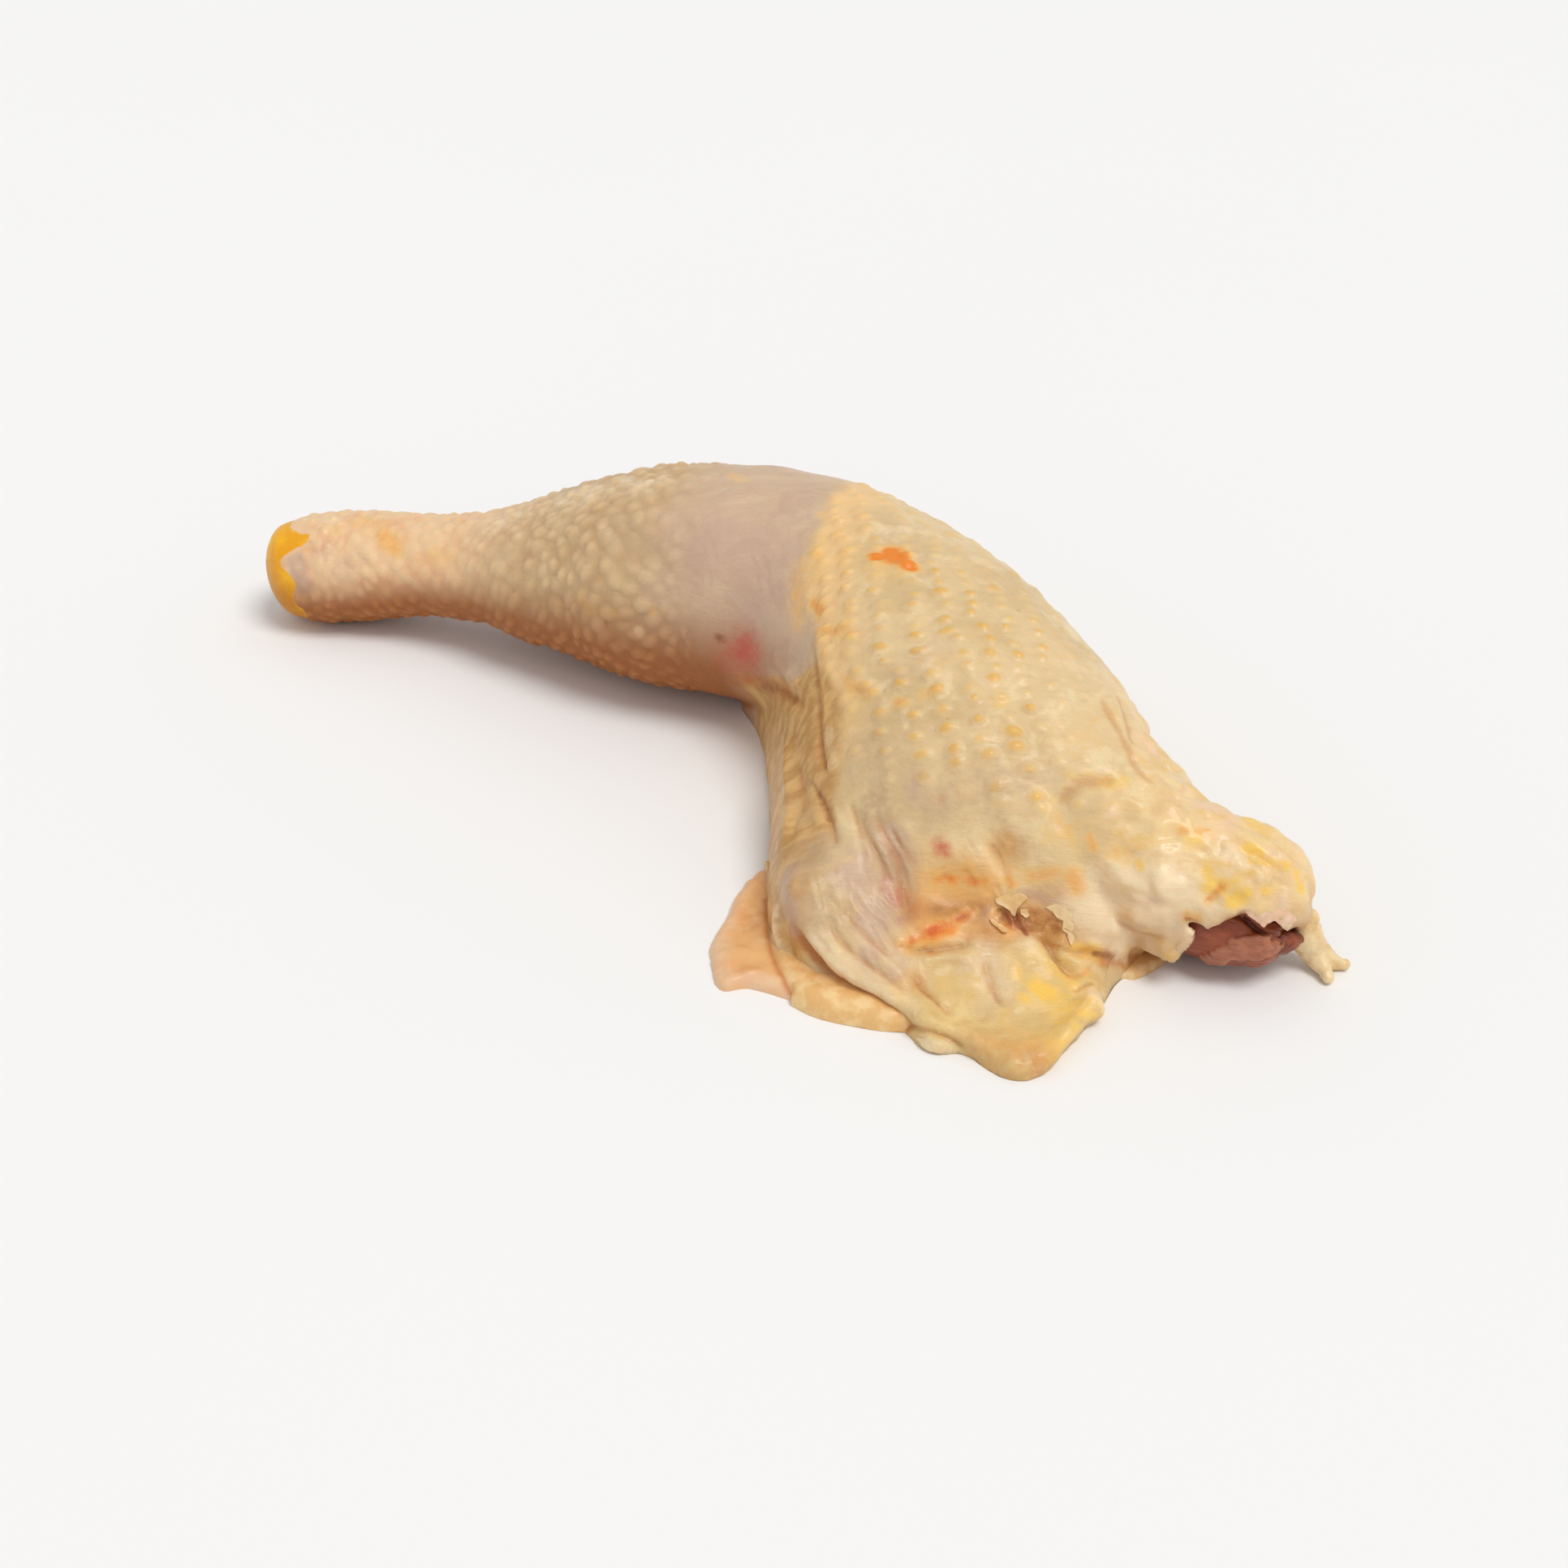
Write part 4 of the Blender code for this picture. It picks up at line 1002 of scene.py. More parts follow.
def drop_crumbs(obj):
    """Removes what is cut off from the object's biggest shell.

    Each point starts with its own number and takes the lowest of those joined to it, until none changes.
    """
    mesh = obj.data
    ends = np.empty(len(mesh.edges) * 2, np.int32)
    mesh.edges.foreach_get("vertices", ends)
    start, end = ends.reshape(-1, 2).T
    shell, before = np.arange(len(mesh.vertices)), None
    while before is None or (shell != before).any():
        before = shell.copy()
        np.minimum.at(shell, start, before[end])
        np.minimum.at(shell, end, before[start])
        shell = shell[shell]
    crumbs = (shell != np.bincount(shell).argmax()).nonzero()[0]
    work = bmesh.new()
    work.from_mesh(mesh)
    work.verts.ensure_lookup_table()
    bmesh.ops.delete(work, geom=[work.verts[number] for number in crumbs.tolist()], context="VERTS")
    work.to_mesh(mesh)
    work.free()


def points_of(mesh):
    """The mesh's points in drawing units, one row each."""
    flat = np.empty(len(mesh.vertices) * 3)
    mesh.vertices.foreach_get("co", flat)
    return flat.reshape(-1, 3) / UNIT - CENTRE_SHIFT


def normals_of(mesh):
    """The outward direction at each point of the mesh."""
    flat = np.empty(len(mesh.vertices) * 3)
    mesh.vertex_normals.foreach_get("vector", flat)
    return flat.reshape(-1, 3)


def raise_by(mesh, height):
    """Moves each point outwards by its height in drawing units. What rests on z = 0 stays on it."""
    points, normals = points_of(mesh), normals_of(mesh)
    lift = normals * height[:, None]
    lift[:, 2] *= ease_between(points[:, 2], 0.0, RESTING_BELOW)
    points = points + lift
    points[:, 2] = np.maximum(points[:, 2], 0)
    mesh.vertices.foreach_set("co", ((points + CENTRE_SHIFT) * UNIT).ravel())
    mesh.update()


def note(mesh, name, values):
    """Keeps a number for each point of the mesh as an attribute that materials read."""
    kept = mesh.attributes.new(name, "FLOAT", "POINT")
    kept.data.foreach_set("value", np.ascontiguousarray(values, np.float32))


def meat_station(x):
    """The meat's station at that x."""
    return (x, *curve_through(MEAT_STATIONS, np.array([x]))[0])


def mouth_cutters(tree):
    """The opening as it shows from the camera, cut straight back, and the hollow behind the lips."""
    right, down, ahead = camera_axes()
    eye = np.array(CAMERA_PLACE)
    deep = (seen_at(tree, [MOUTH_MIDDLE])[0] - eye) @ ahead + np.array(MOUTH_DEPTHS)
    spots = np.array(MOUTH_OUTLINE, float) - PHOTO_SIDE / 2
    ways = (spots[:, :1] * right + spots[:, 1:] * down) / EYE_TO_PHOTO + ahead
    rings = np.concatenate([eye + ways * deep[0], eye + ways * deep[1]])
    count = len(spots)
    index = np.arange(count)
    after = (index + 1) % count
    sides = np.stack([index, after, after + count, index + count], -1).tolist()
    ends = [index[::-1].tolist(), (index + count).tolist()]
    rows = [meat_station(LIP_HOLLOW_FROM)] + [row for row in MEAT_STATIONS if row[0] > LIP_HOLLOW_FROM]
    caps = (LIP_HOLLOW_CAP, MEAT_CAPS[1])
    hollow = tube(rows, caps, LIP_HOLLOW_STEP, LIP_HOLLOW_POINTS, LIP_HOLLOW_SWELL)
    return [(rings, sides + ends), hollow]


def tree_of(obj):
    """The object's faces, sorted so that rays and nearest points are found fast."""
    return BVHTree.FromObject(obj, bpy.context.evaluated_depsgraph_get())


def pocket():
    """The space for the hidden length of the meat: its own tube, larger all round by the gap."""
    rows = [row for row in MEAT_STATIONS if row[0] < POCKET_TO - POCKET_CAP] + [meat_station(POCKET_TO)]
    return tube(rows, (MEAT_CAPS[0], POCKET_CAP), POCKET_RING_STEP, POCKET_RING_POINTS, GAP / UNIT)


def make_skin():
    """The skin-covered leg: fused, opened at the cut end, folded, pimpled and hollowed for the meat."""
    leg = tube(LEG_STATIONS, LEG_CAPS, LEG_RING_STEP, LEG_RING_POINTS)
    skin = new_object("skin", [leg, apron_block()])
    fuse(skin, *SKIN_FUSE)
    tree = tree_of(skin)
    for number, cutter in enumerate(mouth_cutters(tree)):
        cut_away(skin, new_object(f"opening_{number}", [cutter]))
    fuse(skin, *SKIN_REFUSE)
    trim_flat(skin)
    points, normals = points_of(skin.data), normals_of(skin.data)
    folds, crease = fold_relief(points, normals, tree)
    zones = skin_zones(points)
    domes = follicle_domes(points, zones)
    raise_by(skin.data, skin_relief_broad(points, zones, folds, tree))
    raise_by(skin.data, skin_relief_fine(points, domes))
    notes = zones | {"drumstick_bump": domes[0], "thigh_bump": domes[1], "crease": crease}
    for name in MARKS:
        notes[name] = marks_of(points, tree, name)
    for name, values in (notes | skin_places(points, normals)).items():
        note(skin.data, name, values)
    thin(skin, SKIN_TRIANGLES)
    cut_away(skin, new_object("pocket", [pocket()]))
    drop_crumbs(skin)
    skin.data.shade_smooth()
    return skin


def skin_places(points, normals):
    """Share from 0 to 1 of the torn place, the flap, what faces down and the inside of the cut end."""
    facing = ease_between(inward(points, normals), *FACING_MEAT)
    return {
        "torn": in_egg(points, TORN_MIDDLE, TORN_SIZES),
        "flap": share_of("flap", points),
        # What faces down: the skin's material paints shade and warm reflected light there.
        "under": ease_between(-normals[:, 2], *FACING_DOWN),
        "inside": in_egg(points, CUT_MIDDLE, CUT_SIZES) * share_of("cut end", points) * facing,
    }


def inward(points, normals):
    """1 where the surface faces the meat's line, as inside the lips, and -1 where it faces away from it."""
    rows, _ = along_path(MEAT_STATIONS, PATH_STEP)
    middle = np.stack([np.interp(points[:, 0], rows[:, 0], rows[:, 1 + k]) for k in range(2)], -1)
    off = middle - points[:, 1:]
    return (off * normals[:, 1:]).sum(1) / np.maximum(np.linalg.norm(off, axis=1), TINY)


# Nicks of the layers' edge: depth, size and seed of the fine ones, the layer of broad ones, how far in
# from the edge they reach as a share, and how much shallower they are along the calm hem.
NICK_DEPTH, NICK_SIZE, NICK_SEED = 0.55, 3.0, 95
BROAD_NICKS = [(8.0, 0.5, 99)]
NICKS_FROM = 0.8
CALMER = 0.85
# Waves of the layers' thickness as a share of it, and the least thickness.
LAYER_WAVES = [(7.0, 0.18, 97), (2.5, 0.08, 98)]
THINNEST = 0.12
# The rolled hem: how uneven it is, with the noise's stretch, size and seed, and the distances past its path
# between which it rises and between which its colour begins.
HEM_ROLLS = 0.3
HEM_STRETCH = (0.4, 1.0, 1.0)
HEM_NOISE = (5.0, 96)
HEM_RISE = (-0.4, 2.2)
HEM_COLOUR = (-0.5, 0.6)
# The painted shadow line along the hem: how far it is left of the path, and its half width.
LINE_OFF, LINE_WIDTH = 0.4, 0.7
# The paler rim: how strong and how patchy it is, with the noise's size and seed.
RIM_STRENGTH, RIM_PATCHES = 0.8, 0.4
RIM_NOISE = (4.0, 92)
# The painted warm shade of the hem by its crease: its y, how much noise moves it, and its fading towards both
# sides.
DEEP_Y, DEEP_WANDER = 52.0, 0.1
DEEP_NOISE = (5.0, 93)
DEEP_FADE = (-9, -3)


def make_layer(name, inner, thickness, edge):
    """A thin skin that lies flat: a fan from the inner point to its edge, rounded, wavy and nicked there."""
    around, out = LAYER_STEPS
    spots = np.arange(len(edge))
    outline = curve_through(np.column_stack([spots, edge]), np.linspace(0, len(edge) - 1, around))
    share = np.sin(np.linspace(LAYER_INNER_SHARE, 1, out) * math.pi / 2)
    flat = np.array(inner) + (outline[:, None, :] - np.array(inner)) * share[None, :, None]
    rim = np.column_stack([outline, np.zeros(around)])
    nicks = NICK_DEPTH * layered_lumps(rim, NICK_SIZE, NICK_SEED) + unevenness(rim, BROAD_NICKS)
    nicks *= 1 - CALMER * share_of("calm hem", rim)
    way = (outline - np.array(inner)) / np.linalg.norm(outline - np.array(inner), axis=1)[:, None]
    flat += way[:, None, :] * (nicks[:, None] * ease_between(share, NICKS_FROM, 1.0)[None, :])[:, :, None]
    inside = np.clip((1 - share) / (1 - LAYER_ROUND_FROM), 0, 1)
    height = thickness * np.sqrt(1 - (1 - inside) ** 2)[None, :]
    spot = np.dstack([flat, np.zeros(flat.shape[:2])]).reshape(-1, 3)
    height = np.maximum(height * (1 + unevenness(spot, LAYER_WAVES).reshape(around, out)), THINNEST)
    layer = new_object(name, [block_under(np.dstack([flat, height]), 0.0)])
    if name == "lower_skin":
        roll_hem(layer, np.tile(ease_between(share, NICKS_FROM, 1.0), 2 * around))
    layer.data.shade_smooth()
    return layer


def roll_hem(layer, rim):
    """Raises the rolled hem of the lower layer, and keeps what its material reads about the hem and rim."""
    points = points_of(layer.data)
    past = right_of_path(points, tree_of(layer), HEM_PATH)
    rolls = 1 - HEM_ROLLS + HEM_ROLLS * lumps(points * HEM_STRETCH, *HEM_NOISE)
    raise_by(layer.data, HEM_HIGH * ease_between(past, *HEM_RISE) * rolls)
    note(layer.data, "hem", ease_between(past, *HEM_COLOUR))
    # the painted shadow line under the rolled hem
    note(layer.data, "line", np.exp(-(((past + LINE_OFF) / LINE_WIDTH) ** 2)))
    note(layer.data, "rim", rim * (RIM_STRENGTH + RIM_PATCHES * lumps(points, *RIM_NOISE)))
    off = np.abs(points[:, 1] + DEEP_Y + DEEP_WANDER * lumps(points, *DEEP_NOISE))
    note(layer.data, "deep", ease_between(-off, *DEEP_FADE))


def right_of_path(points, tree, spots):
    """Distance of each point from the path through those spots, below zero on the left of the path."""
    rows, ways = along_skin(tree, spots)
    _, nearest, distance = near_path(points, rows, math.inf)
    side = (np.cross((0, 0, 1), ways[nearest]) * (points - rows[nearest])).sum(1)
    return np.sign(side) * distance


# What shows on the meat, in pixels of the photo: raised sheets and grooves, each a half width and a path.
SHEET_PATHS = [
    (2.0, [(1490, 1183), (1512, 1175), (1536, 1168), (1556, 1162)]),
    (1.2, [(1519, 1162), (1540, 1161), (1560, 1156)]),
    (1.7, [(1530, 1178), (1556, 1172), (1574, 1164)]),
]
GROOVE_PATHS = [
    (0.7, [(1534, 1130), (1542, 1138), (1550, 1146), (1558, 1150)]),
    (0.6, [(1576, 1160), (1582, 1150), (1586, 1140)]),
]
# How ragged their edges are, with the seed, and their height and depth.
SHEET_RAGGED, GROOVE_RAGGED = (0.34, 85), (0.2, 86)
SHEET_HIGH, GROOVE_DEEP = 0.9, 1.3
# The meat's lumps in layers, how far it is sunk on the whole, and its fibres: how they are stretched and
# bent, their size, seed and height.
MEAT_LUMPS = [(6.0, 0.6, 83), (2.5, 0.3, 84)]
MEAT_SINK = 0.2
FIBRE_STRETCH = (0.12, 1.0, 1.0)
FIBRE_BEND = [(5.0, 0.3, 81)]
FIBRE_NOISE = (1.1, 82)
FIBRE_HIGH = 0.18
# The wet tissue's lumps, how far it is sunk, and the dark patches on it: noise, fading, strength and least.
TISSUE_LUMPS = [(2.4, 0.5, 88), (1.1, 0.25, 89)]
TISSUE_SINK = 0.2
TISSUE_PATCHES = (2.0, 90)
TISSUE_FADE = (-0.2, 0.6)
TISSUE_DARK, TISSUE_LEAST = 0.8, 0.1
# The edge of a sheet or groove: the size of its ragged noise, its softness, and what counts as far outside.
RAGGED_SIZE = 2.4
RAGGED_SOFTNESS = 0.12
FAR_OUTSIDE = -9.0


def make_meat():
    """The dark meat: the solid's tube with fibres, bulging bundles and a torn sheet lying over its front."""
    meat = new_object("dark_meat", [tube(MEAT_STATIONS, MEAT_CAPS, MEAT_RING_STEP, MEAT_RING_POINTS)])
    points, tree = points_of(meat.data), tree_of(meat)
    sheet = path_share(points, tree, SHEET_PATHS, *SHEET_RAGGED)
    groove = path_share(points, tree, GROOVE_PATHS, *GROOVE_RAGGED)
    bent = points * FIBRE_STRETCH + unevenness(points, FIBRE_BEND)[:, None]
    fibres = 1 - 2 * np.abs(lumps(bent, *FIBRE_NOISE))
    height = unevenness(points, MEAT_LUMPS) - MEAT_SINK + FIBRE_HIGH * fibres + SHEET_HIGH * sheet
    raise_by(meat.data, (height - GROOVE_DEEP * groove) * share_of("cut end", points))
    note(meat.data, "sheet", sheet)
    # the groove's share, which the meat's material paints in shade
    note(meat.data, "groove", groove)
    meat.data.shade_smooth()
    return meat


def make_tissue():
    """The wet purplish tissue between the meat and the strand: a short lumpy tube."""
    stations = [(x, y, z, r, r, TISSUE_FLATNESS * r) for x, y, z, r in TISSUE_PATH]
    tissue = new_object("wet_tissue", [tube(stations, TISSUE_CAPS, TISSUE_STEP, TISSUE_RING_POINTS)])
    points = points_of(tissue.data)
    raise_by(tissue.data, unevenness(points, TISSUE_LUMPS) - TISSUE_SINK)
    patches = ease_between(lumps(points, *TISSUE_PATCHES), *TISSUE_FADE)
    note(tissue.data, "groove", patches * TISSUE_DARK + TISSUE_LEAST)
    tissue.data.shade_smooth()
    return tissue


def path_share(points, tree, paths, ragged, seed):
    """1 on the paths and 0 off them, with a ragged edge between."""
    inside = np.full(len(points), FAR_OUTSIDE)
    for reach, spots in paths:
        near, _, distance = near_path(points, along_skin(tree, spots)[0], 2 * reach)
        inside[near] = np.maximum(inside[near], 1 - distance / reach)
    edge = inside + ragged * layered_lumps(points, RAGGED_SIZE, seed)
    return ease_between(edge, -RAGGED_SOFTNESS, RAGGED_SOFTNESS)


# Torn scraps of thin skin: the colour kind, and the outline in pixels of the photo with how high it
# stands off the skin in drawing units at each spot, which is below the skin where it is joined to it.
SCRAPS = [
    ("torn_membrane", "cream", [(1226, 1107, 0.2), (1236, 1103, 0.0), (1248, 1100, -0.3),
                                (1260, 1101, -0.2), (1266, 1108, 0.4), (1259, 1113, 0.7),
                                (1254, 1118, 0.8), (1250, 1128, 1.2), (1246, 1127, 1.1),
                                (1242, 1120, 0.9), (1235, 1116, 0.7), (1228, 1113, 0.6)]),
    ("curl", "cream", [(1220, 1130, 0.6), (1226, 1133, 0.3), (1232, 1138, 0.3), (1239, 1143, 0.4),
                       (1241, 1148, 1.0), (1235, 1147, 1.3), (1228, 1142, 1.3), (1222, 1136, 1.0)]),
    ("white_bit", "cream", [(1259, 1119, 0.5), (1264, 1120, 0.6), (1268, 1127, 0.8), (1264, 1131, 0.8),
                            (1260, 1128, 0.7), (1257, 1124, 0.5)]),
    ("membrane_edge", "cream", [(1287, 1117, 0.2), (1294, 1120, 0.4), (1299, 1124, 0.5),
                                (1301, 1130, 0.5), (1307, 1131, 0.4), (1310, 1137, 0.5),
                                (1310, 1146, 0.5), (1315, 1152, 0.4), (1320, 1166, 0.2),
                                (1324, 1158, -0.8), (1326, 1144, -1.0), (1322, 1126, -1.0),
                                (1312, 1116, -0.6), (1300, 1114, -0.4)]),
    ("lip_scrap", "pink", [(1532, 1123, -1.4), (1546, 1120, -1.6), (1562, 1119, -1.6),
                           (1578, 1119, -1.6), (1592, 1121, -1.4), (1597, 1133, 0.1),
                           (1591, 1138, 0.3), (1586, 1147, 0.6), (1579, 1138, 0.4), (1569, 1134, 0.4),
                           (1562, 1138, 0.5), (1557, 1143, 0.7), (1550, 1136, 0.3), (1540, 1130, 0.1)]),
    ("hem_scrap_left", "cream", [(1128, 1278, -0.3), (1144, 1280, -0.4), (1160, 1284, -0.4),
                                 (1168, 1290, 0.3), (1160, 1297, 0.5), (1148, 1296, 0.5),
                                 (1138, 1291, 0.5)]),
]
SCRAP_STEPS = (140, 16)
SCRAP_THICK = 0.24
SCRAP_LIFT = 0.5
# How far a scrap lies off the skin at least, its waves, and how thin its edge gets: a scrap is as thick as
# the square root of this less the fourth power of the share of the way out.
SCRAP_OFF = 0.15
SCRAP_WAVES = [(6.0, 0.10, 103)]
SCRAP_FULL = 1.02
# How many pixels the scrap's outline is ragged, and the noise's size and seeds across and down.
SCRAP_RAGGED, SCRAP_RAGGED_SIZE, SCRAP_RAGGED_SEEDS = 1.1, 5.0, (101, 102)
# Which depth from the camera is usual among a scrap's points, as a share of them, and how near to it counts.
USUAL_SHARE, USUAL_REACH = 0.3, 3.0


def smooth_patch(tree, spots):
    """Points of the skin at those spots of the photo, smoothed: each coordinate is a quadratic of the pixel.

    The quadratic is fitted to the points that lie about as near to the camera as most of them.
    """
    on_skin = seen_at(tree, spots.tolist(), True)
    depth = on_skin @ camera_axes()[2]
    usual = np.abs(depth - np.nanquantile(depth, USUAL_SHARE)) < USUAL_REACH
    x, y = ((spots - spots.mean(0)) / spots.std(0)).T
    terms = np.stack([np.ones(len(x)), x, y, x * x, x * y, y * y], -1)
    return terms @ np.linalg.lstsq(terms[usual], on_skin[usual], rcond=None)[0]


def make_scrap(name, tree, outline):
    """A thin torn scrap on the skin: rings from its middle out to its ragged edge, and back in under it."""
    around, out = SCRAP_STEPS
    numbered = [(number, *spot) for number, spot in enumerate(outline + outline[:1])]
    rim = curve_through(numbered, np.linspace(0, len(outline), around, endpoint=False))
    after = np.roll(rim, -1, axis=0)
    if (rim[:, 0] * after[:, 1] - rim[:, 1] * after[:, 0]).sum() < 0:
        rim = rim[::-1]
    middle = rim.mean(0)
    share = np.linspace(0, 1, out + 1)[1:]
    grid = (middle + (rim - middle) * share[:, None, None]).reshape(-1, 3)
    grid = np.concatenate([[middle], grid])
    share = np.concatenate([[0.0], np.repeat(share, around)])
    ragged = np.stack([lumps(grid[:, :2], SCRAP_RAGGED_SIZE, seed) for seed in SCRAP_RAGGED_SEEDS], -1)
    grid[:, :2] += SCRAP_RAGGED * share[:, None] * ragged
    off = SCRAP_OFF + SCRAP_LIFT * grid[:, 2] * share**2 + unevenness(grid[:, :2], SCRAP_WAVES)
    half = SCRAP_THICK * np.sqrt(SCRAP_FULL - share**4) / 2
    nearer = -camera_axes()[2]
    patch = smooth_patch(tree, grid[:, :2])
    top, under = (patch + nearer * away[:, None] for away in (off + half, off - half))
    rings = [side[1:].reshape(out, around, 3) for side in (top, under)]
    shell = stack_of_rings(np.concatenate([rings[0], rings[1][::-1]]), [top[0], under[0]])
    scrap = new_object(name, [shell])
    scrap.data.shade_smooth()
    return scrap


# The strand's lumps in layers, and how much fuller it is higher up.
STRAND_LUMPS = [(2.2, 0.30, 87), (0.9, 0.16, 88)]
STRAND_FULLER = 0.45


def make_strand():
    """The forked strand of fat: two tubes fused into one, lumpy and fuller higher up."""
    shells = []
    for path in STRAND_PATHS:
        stations = [(x, y, z, r, r, r) for x, y, z, r in path]
        shells.append(tube(stations, (path[0][3], path[-1][3]), STRAND_STEP, STRAND_RING_POINTS))
    strand = new_object("fat_string", shells)
    fuse(strand, *STRAND_FUSE)
    points = points_of(strand.data)
    fuller = STRAND_FULLER * share_of("full strand", points)
    raise_by(strand.data, fuller + unevenness(points, STRAND_LUMPS))
    strand.data.shade_smooth()
    return strand


class Wire:
    """An output of a node. Python's arithmetic on it adds Math nodes."""

    def __init__(self, recipe, socket):
        self.recipe, self.socket = recipe, socket

    def maths(self, operation, *values):
        return self.recipe.node("ShaderNodeMath", {"operation": operation}, dict(enumerate(values)))

    def __add__(self, other):
        return self.maths("ADD", self, other)

    def __sub__(self, other):
        return self.maths("SUBTRACT", self, other)

    def __rsub__(self, other):
        return self.maths("SUBTRACT", other, self)

    def __mul__(self, other):
        return self.maths("MULTIPLY", self, other)

    __radd__, __rmul__ = __add__, __mul__

    def eased(self, low, high):
        """0 below low, 1 above high and a smooth step between."""
        settings = {"interpolation_type": "SMOOTHSTEP", "clamp": True}
        inputs = {"Value": self, "From Min": low, "From Max": high}
        return self.recipe.node("ShaderNodeMapRange", settings, inputs)


# The colour mixing node's sockets by number: the share, the colours under and over, and the result.
MIX_SHARE, MIX_UNDER, MIX_OVER, MIX_RESULT = 0, 6, 7, 2


class Recipe:
    """One material. Its wires have names: clouds of noise, sums of wires, and what points note."""

    def __init__(self, name, clouds, turn=(0, 0, 0)):
        self.material = bpy.data.materials.new(name)
        self.material.use_nodes = True
        self.tree = self.material.node_tree
        self.place = self.node("ShaderNodeTexCoord", output="Object")
        self.named = {cloud: self.noise(turn, *row) for cloud, row in clouds.items()}
        self.tones = {}

    def __getitem__(self, name):
        """The wire of that name, or else the number kept at each point of the piece under that name."""
        if name not in self.named:
            self.named[name] = self.node("ShaderNodeAttribute", {"attribute_name": name}, output="Fac")
        return self.named[name]

    def node(self, kind, settings=None, inputs=None, output=0):
        """Adds a node, sets its settings first and then its sockets, and gives the wire from an output."""
        made = self.tree.nodes.new(kind)
        for name, value in (settings or {}).items():
            setattr(made, name, value)
        self.fill(made, inputs or {})
        return Wire(self, made.outputs[output])

    def fill(self, node, inputs):
        """Sets or links each socket, by its name or number. A table of weights is added up first."""
        for name, value in inputs.items():
            if isinstance(value, dict):
                value = self.total(value)
            if isinstance(value, Wire):
                self.tree.links.new(value.socket, node.inputs[name])
            else:
                node.inputs[name].default_value = value

    def noise(self, turn, size, detail, rough, warp):
        """Cloudy noise from 0 to 1 with lumps of a size in metres, or of a size along each turned axis."""
        place, scale = self.place, 1.0
        if isinstance(size, tuple):
            turned = self.node("ShaderNodeMapping", None, {"Vector": place, "Rotation": turn})
            place = self.node("ShaderNodeVectorMath", {"operation": "DIVIDE"}, {0: turned, 1: size})
        else:
            scale = 1 / size
        inputs = {"Vector": place, "Scale": scale, "Detail": detail, "Roughness": rough, "Distortion": warp}
        return self.node("ShaderNodeTexNoise", None, inputs)

    def total(self, weights):
        """The weight called always, and each other named wire times its weight, added up."""
        added = weights.get("always", 0.0)
        for name, weight in weights.items():
            if name != "always":
                added = self[name] * weight + added
        return added

    def where(self, factors):
        """Product of factors: each a name, or a name with the values between which it eases from 0 to 1."""
        product = None
        for factor in factors:
            part = self[factor] if isinstance(factor, str) else self[factor[0]].eased(*factor[1:])
            product = part if product is None else product * part
        return product

    def colour(self, tone):
        """The tone of that name, or the colour given by its red, green and blue."""
        return self.tones[tone] if isinstance(tone, str) else paint(*tone)

    def coated(self, ground, coats):
        """The ground's colour under coats, each given as how strong it is, where it lies and its colour."""
        tone = self.colour(ground)
        for strong, factors, over in coats:
            inputs = {MIX_SHARE: self.where(factors) * strong, MIX_UNDER: tone, MIX_OVER: self.colour(over)}
            tone = self.node("ShaderNodeMix", {"data_type": "RGBA"}, inputs, MIX_RESULT)
        return tone

    def finish(self, tones, height, bump, sockets):
        """Mixes the tones, of which the last is the surface's, and gives it its bump of that many metres."""
        for name, (ground, coats) in tones.items():
            self.tones[name] = self.coated(ground, coats)
        raised = {"Height": height, "Distance": bump, "Strength": 1.0}
        normal = self.node("ShaderNodeBump", None, raised)
        shader = self.tree.nodes["Principled BSDF"]
        self.fill(shader, {"Base Color": self.tones[name], "Normal": normal} | sockets)
        return self.material


# The curve of a screen's colours: with v as a share of 255, v / 12.92 as long as it is dark, and else
# (v + 0.055) / 1.055 to the power of 2.4.
BRIGHTEST, DARK_BELOW = 255, 11
DARK_DIVISOR, CURVE_OFFSET, CURVE_POWER = 12.92, 0.055, 2.4


def paint(*values):
    """A colour given as seen on a screen, as the linear values that a material takes."""
    shares = [value / BRIGHTEST for value in values]
    dark = DARK_BELOW / BRIGHTEST
    curved = [((share + CURVE_OFFSET) / (1 + CURVE_OFFSET)) ** CURVE_POWER for share in shares]
    pairs = zip(shares, curved)
    return (*[share / DARK_DIVISOR if share < dark else bent for share, bent in pairs], 1)


FLESH_GLOW = {
    "Subsurface Weight": 0.28,
    "Subsurface Radius": (1.0, 0.42, 0.18),
    "Subsurface Scale": 0.004,
    "Specular IOR Level": 0.36,
    "Coat Roughness": 0.16,
}
ACROSS_THE_THIGH = (0, 0, math.radians(-31.0))

# Clouds of noise: the size of their lumps in metres, or one size for each axis, detail, roughness and warp.
SKIN_CLOUDS = {
    "broad": (0.018, 3.0, 0.5, 0.0),
    "patchy": (0.0095, 4.0, 0.6, 0.8),
    "middling": (0.0065, 4.0, 0.55, 0.3),
    "fine": (0.0022, 4.0, 0.6, 0.0),
    "grain": (0.0007, 3.0, 0.6, 0.0),
    "ripples": ((0.0038, 0.0012, 0.0012), 3.0, 0.55, 0.5),
    "streaky": ((0.016, 0.0034, 0.0050), 4.0, 0.6, 0.0),
    "hairs": ((0.0034, 0.0005, 0.0006), 4.0, 0.6, 0.8),
}
# How much noise breaks up the edge of each mark, and of the yellow cap.
MARKS_RAGGED, CAP_RAGGED = 1.6, 1.0
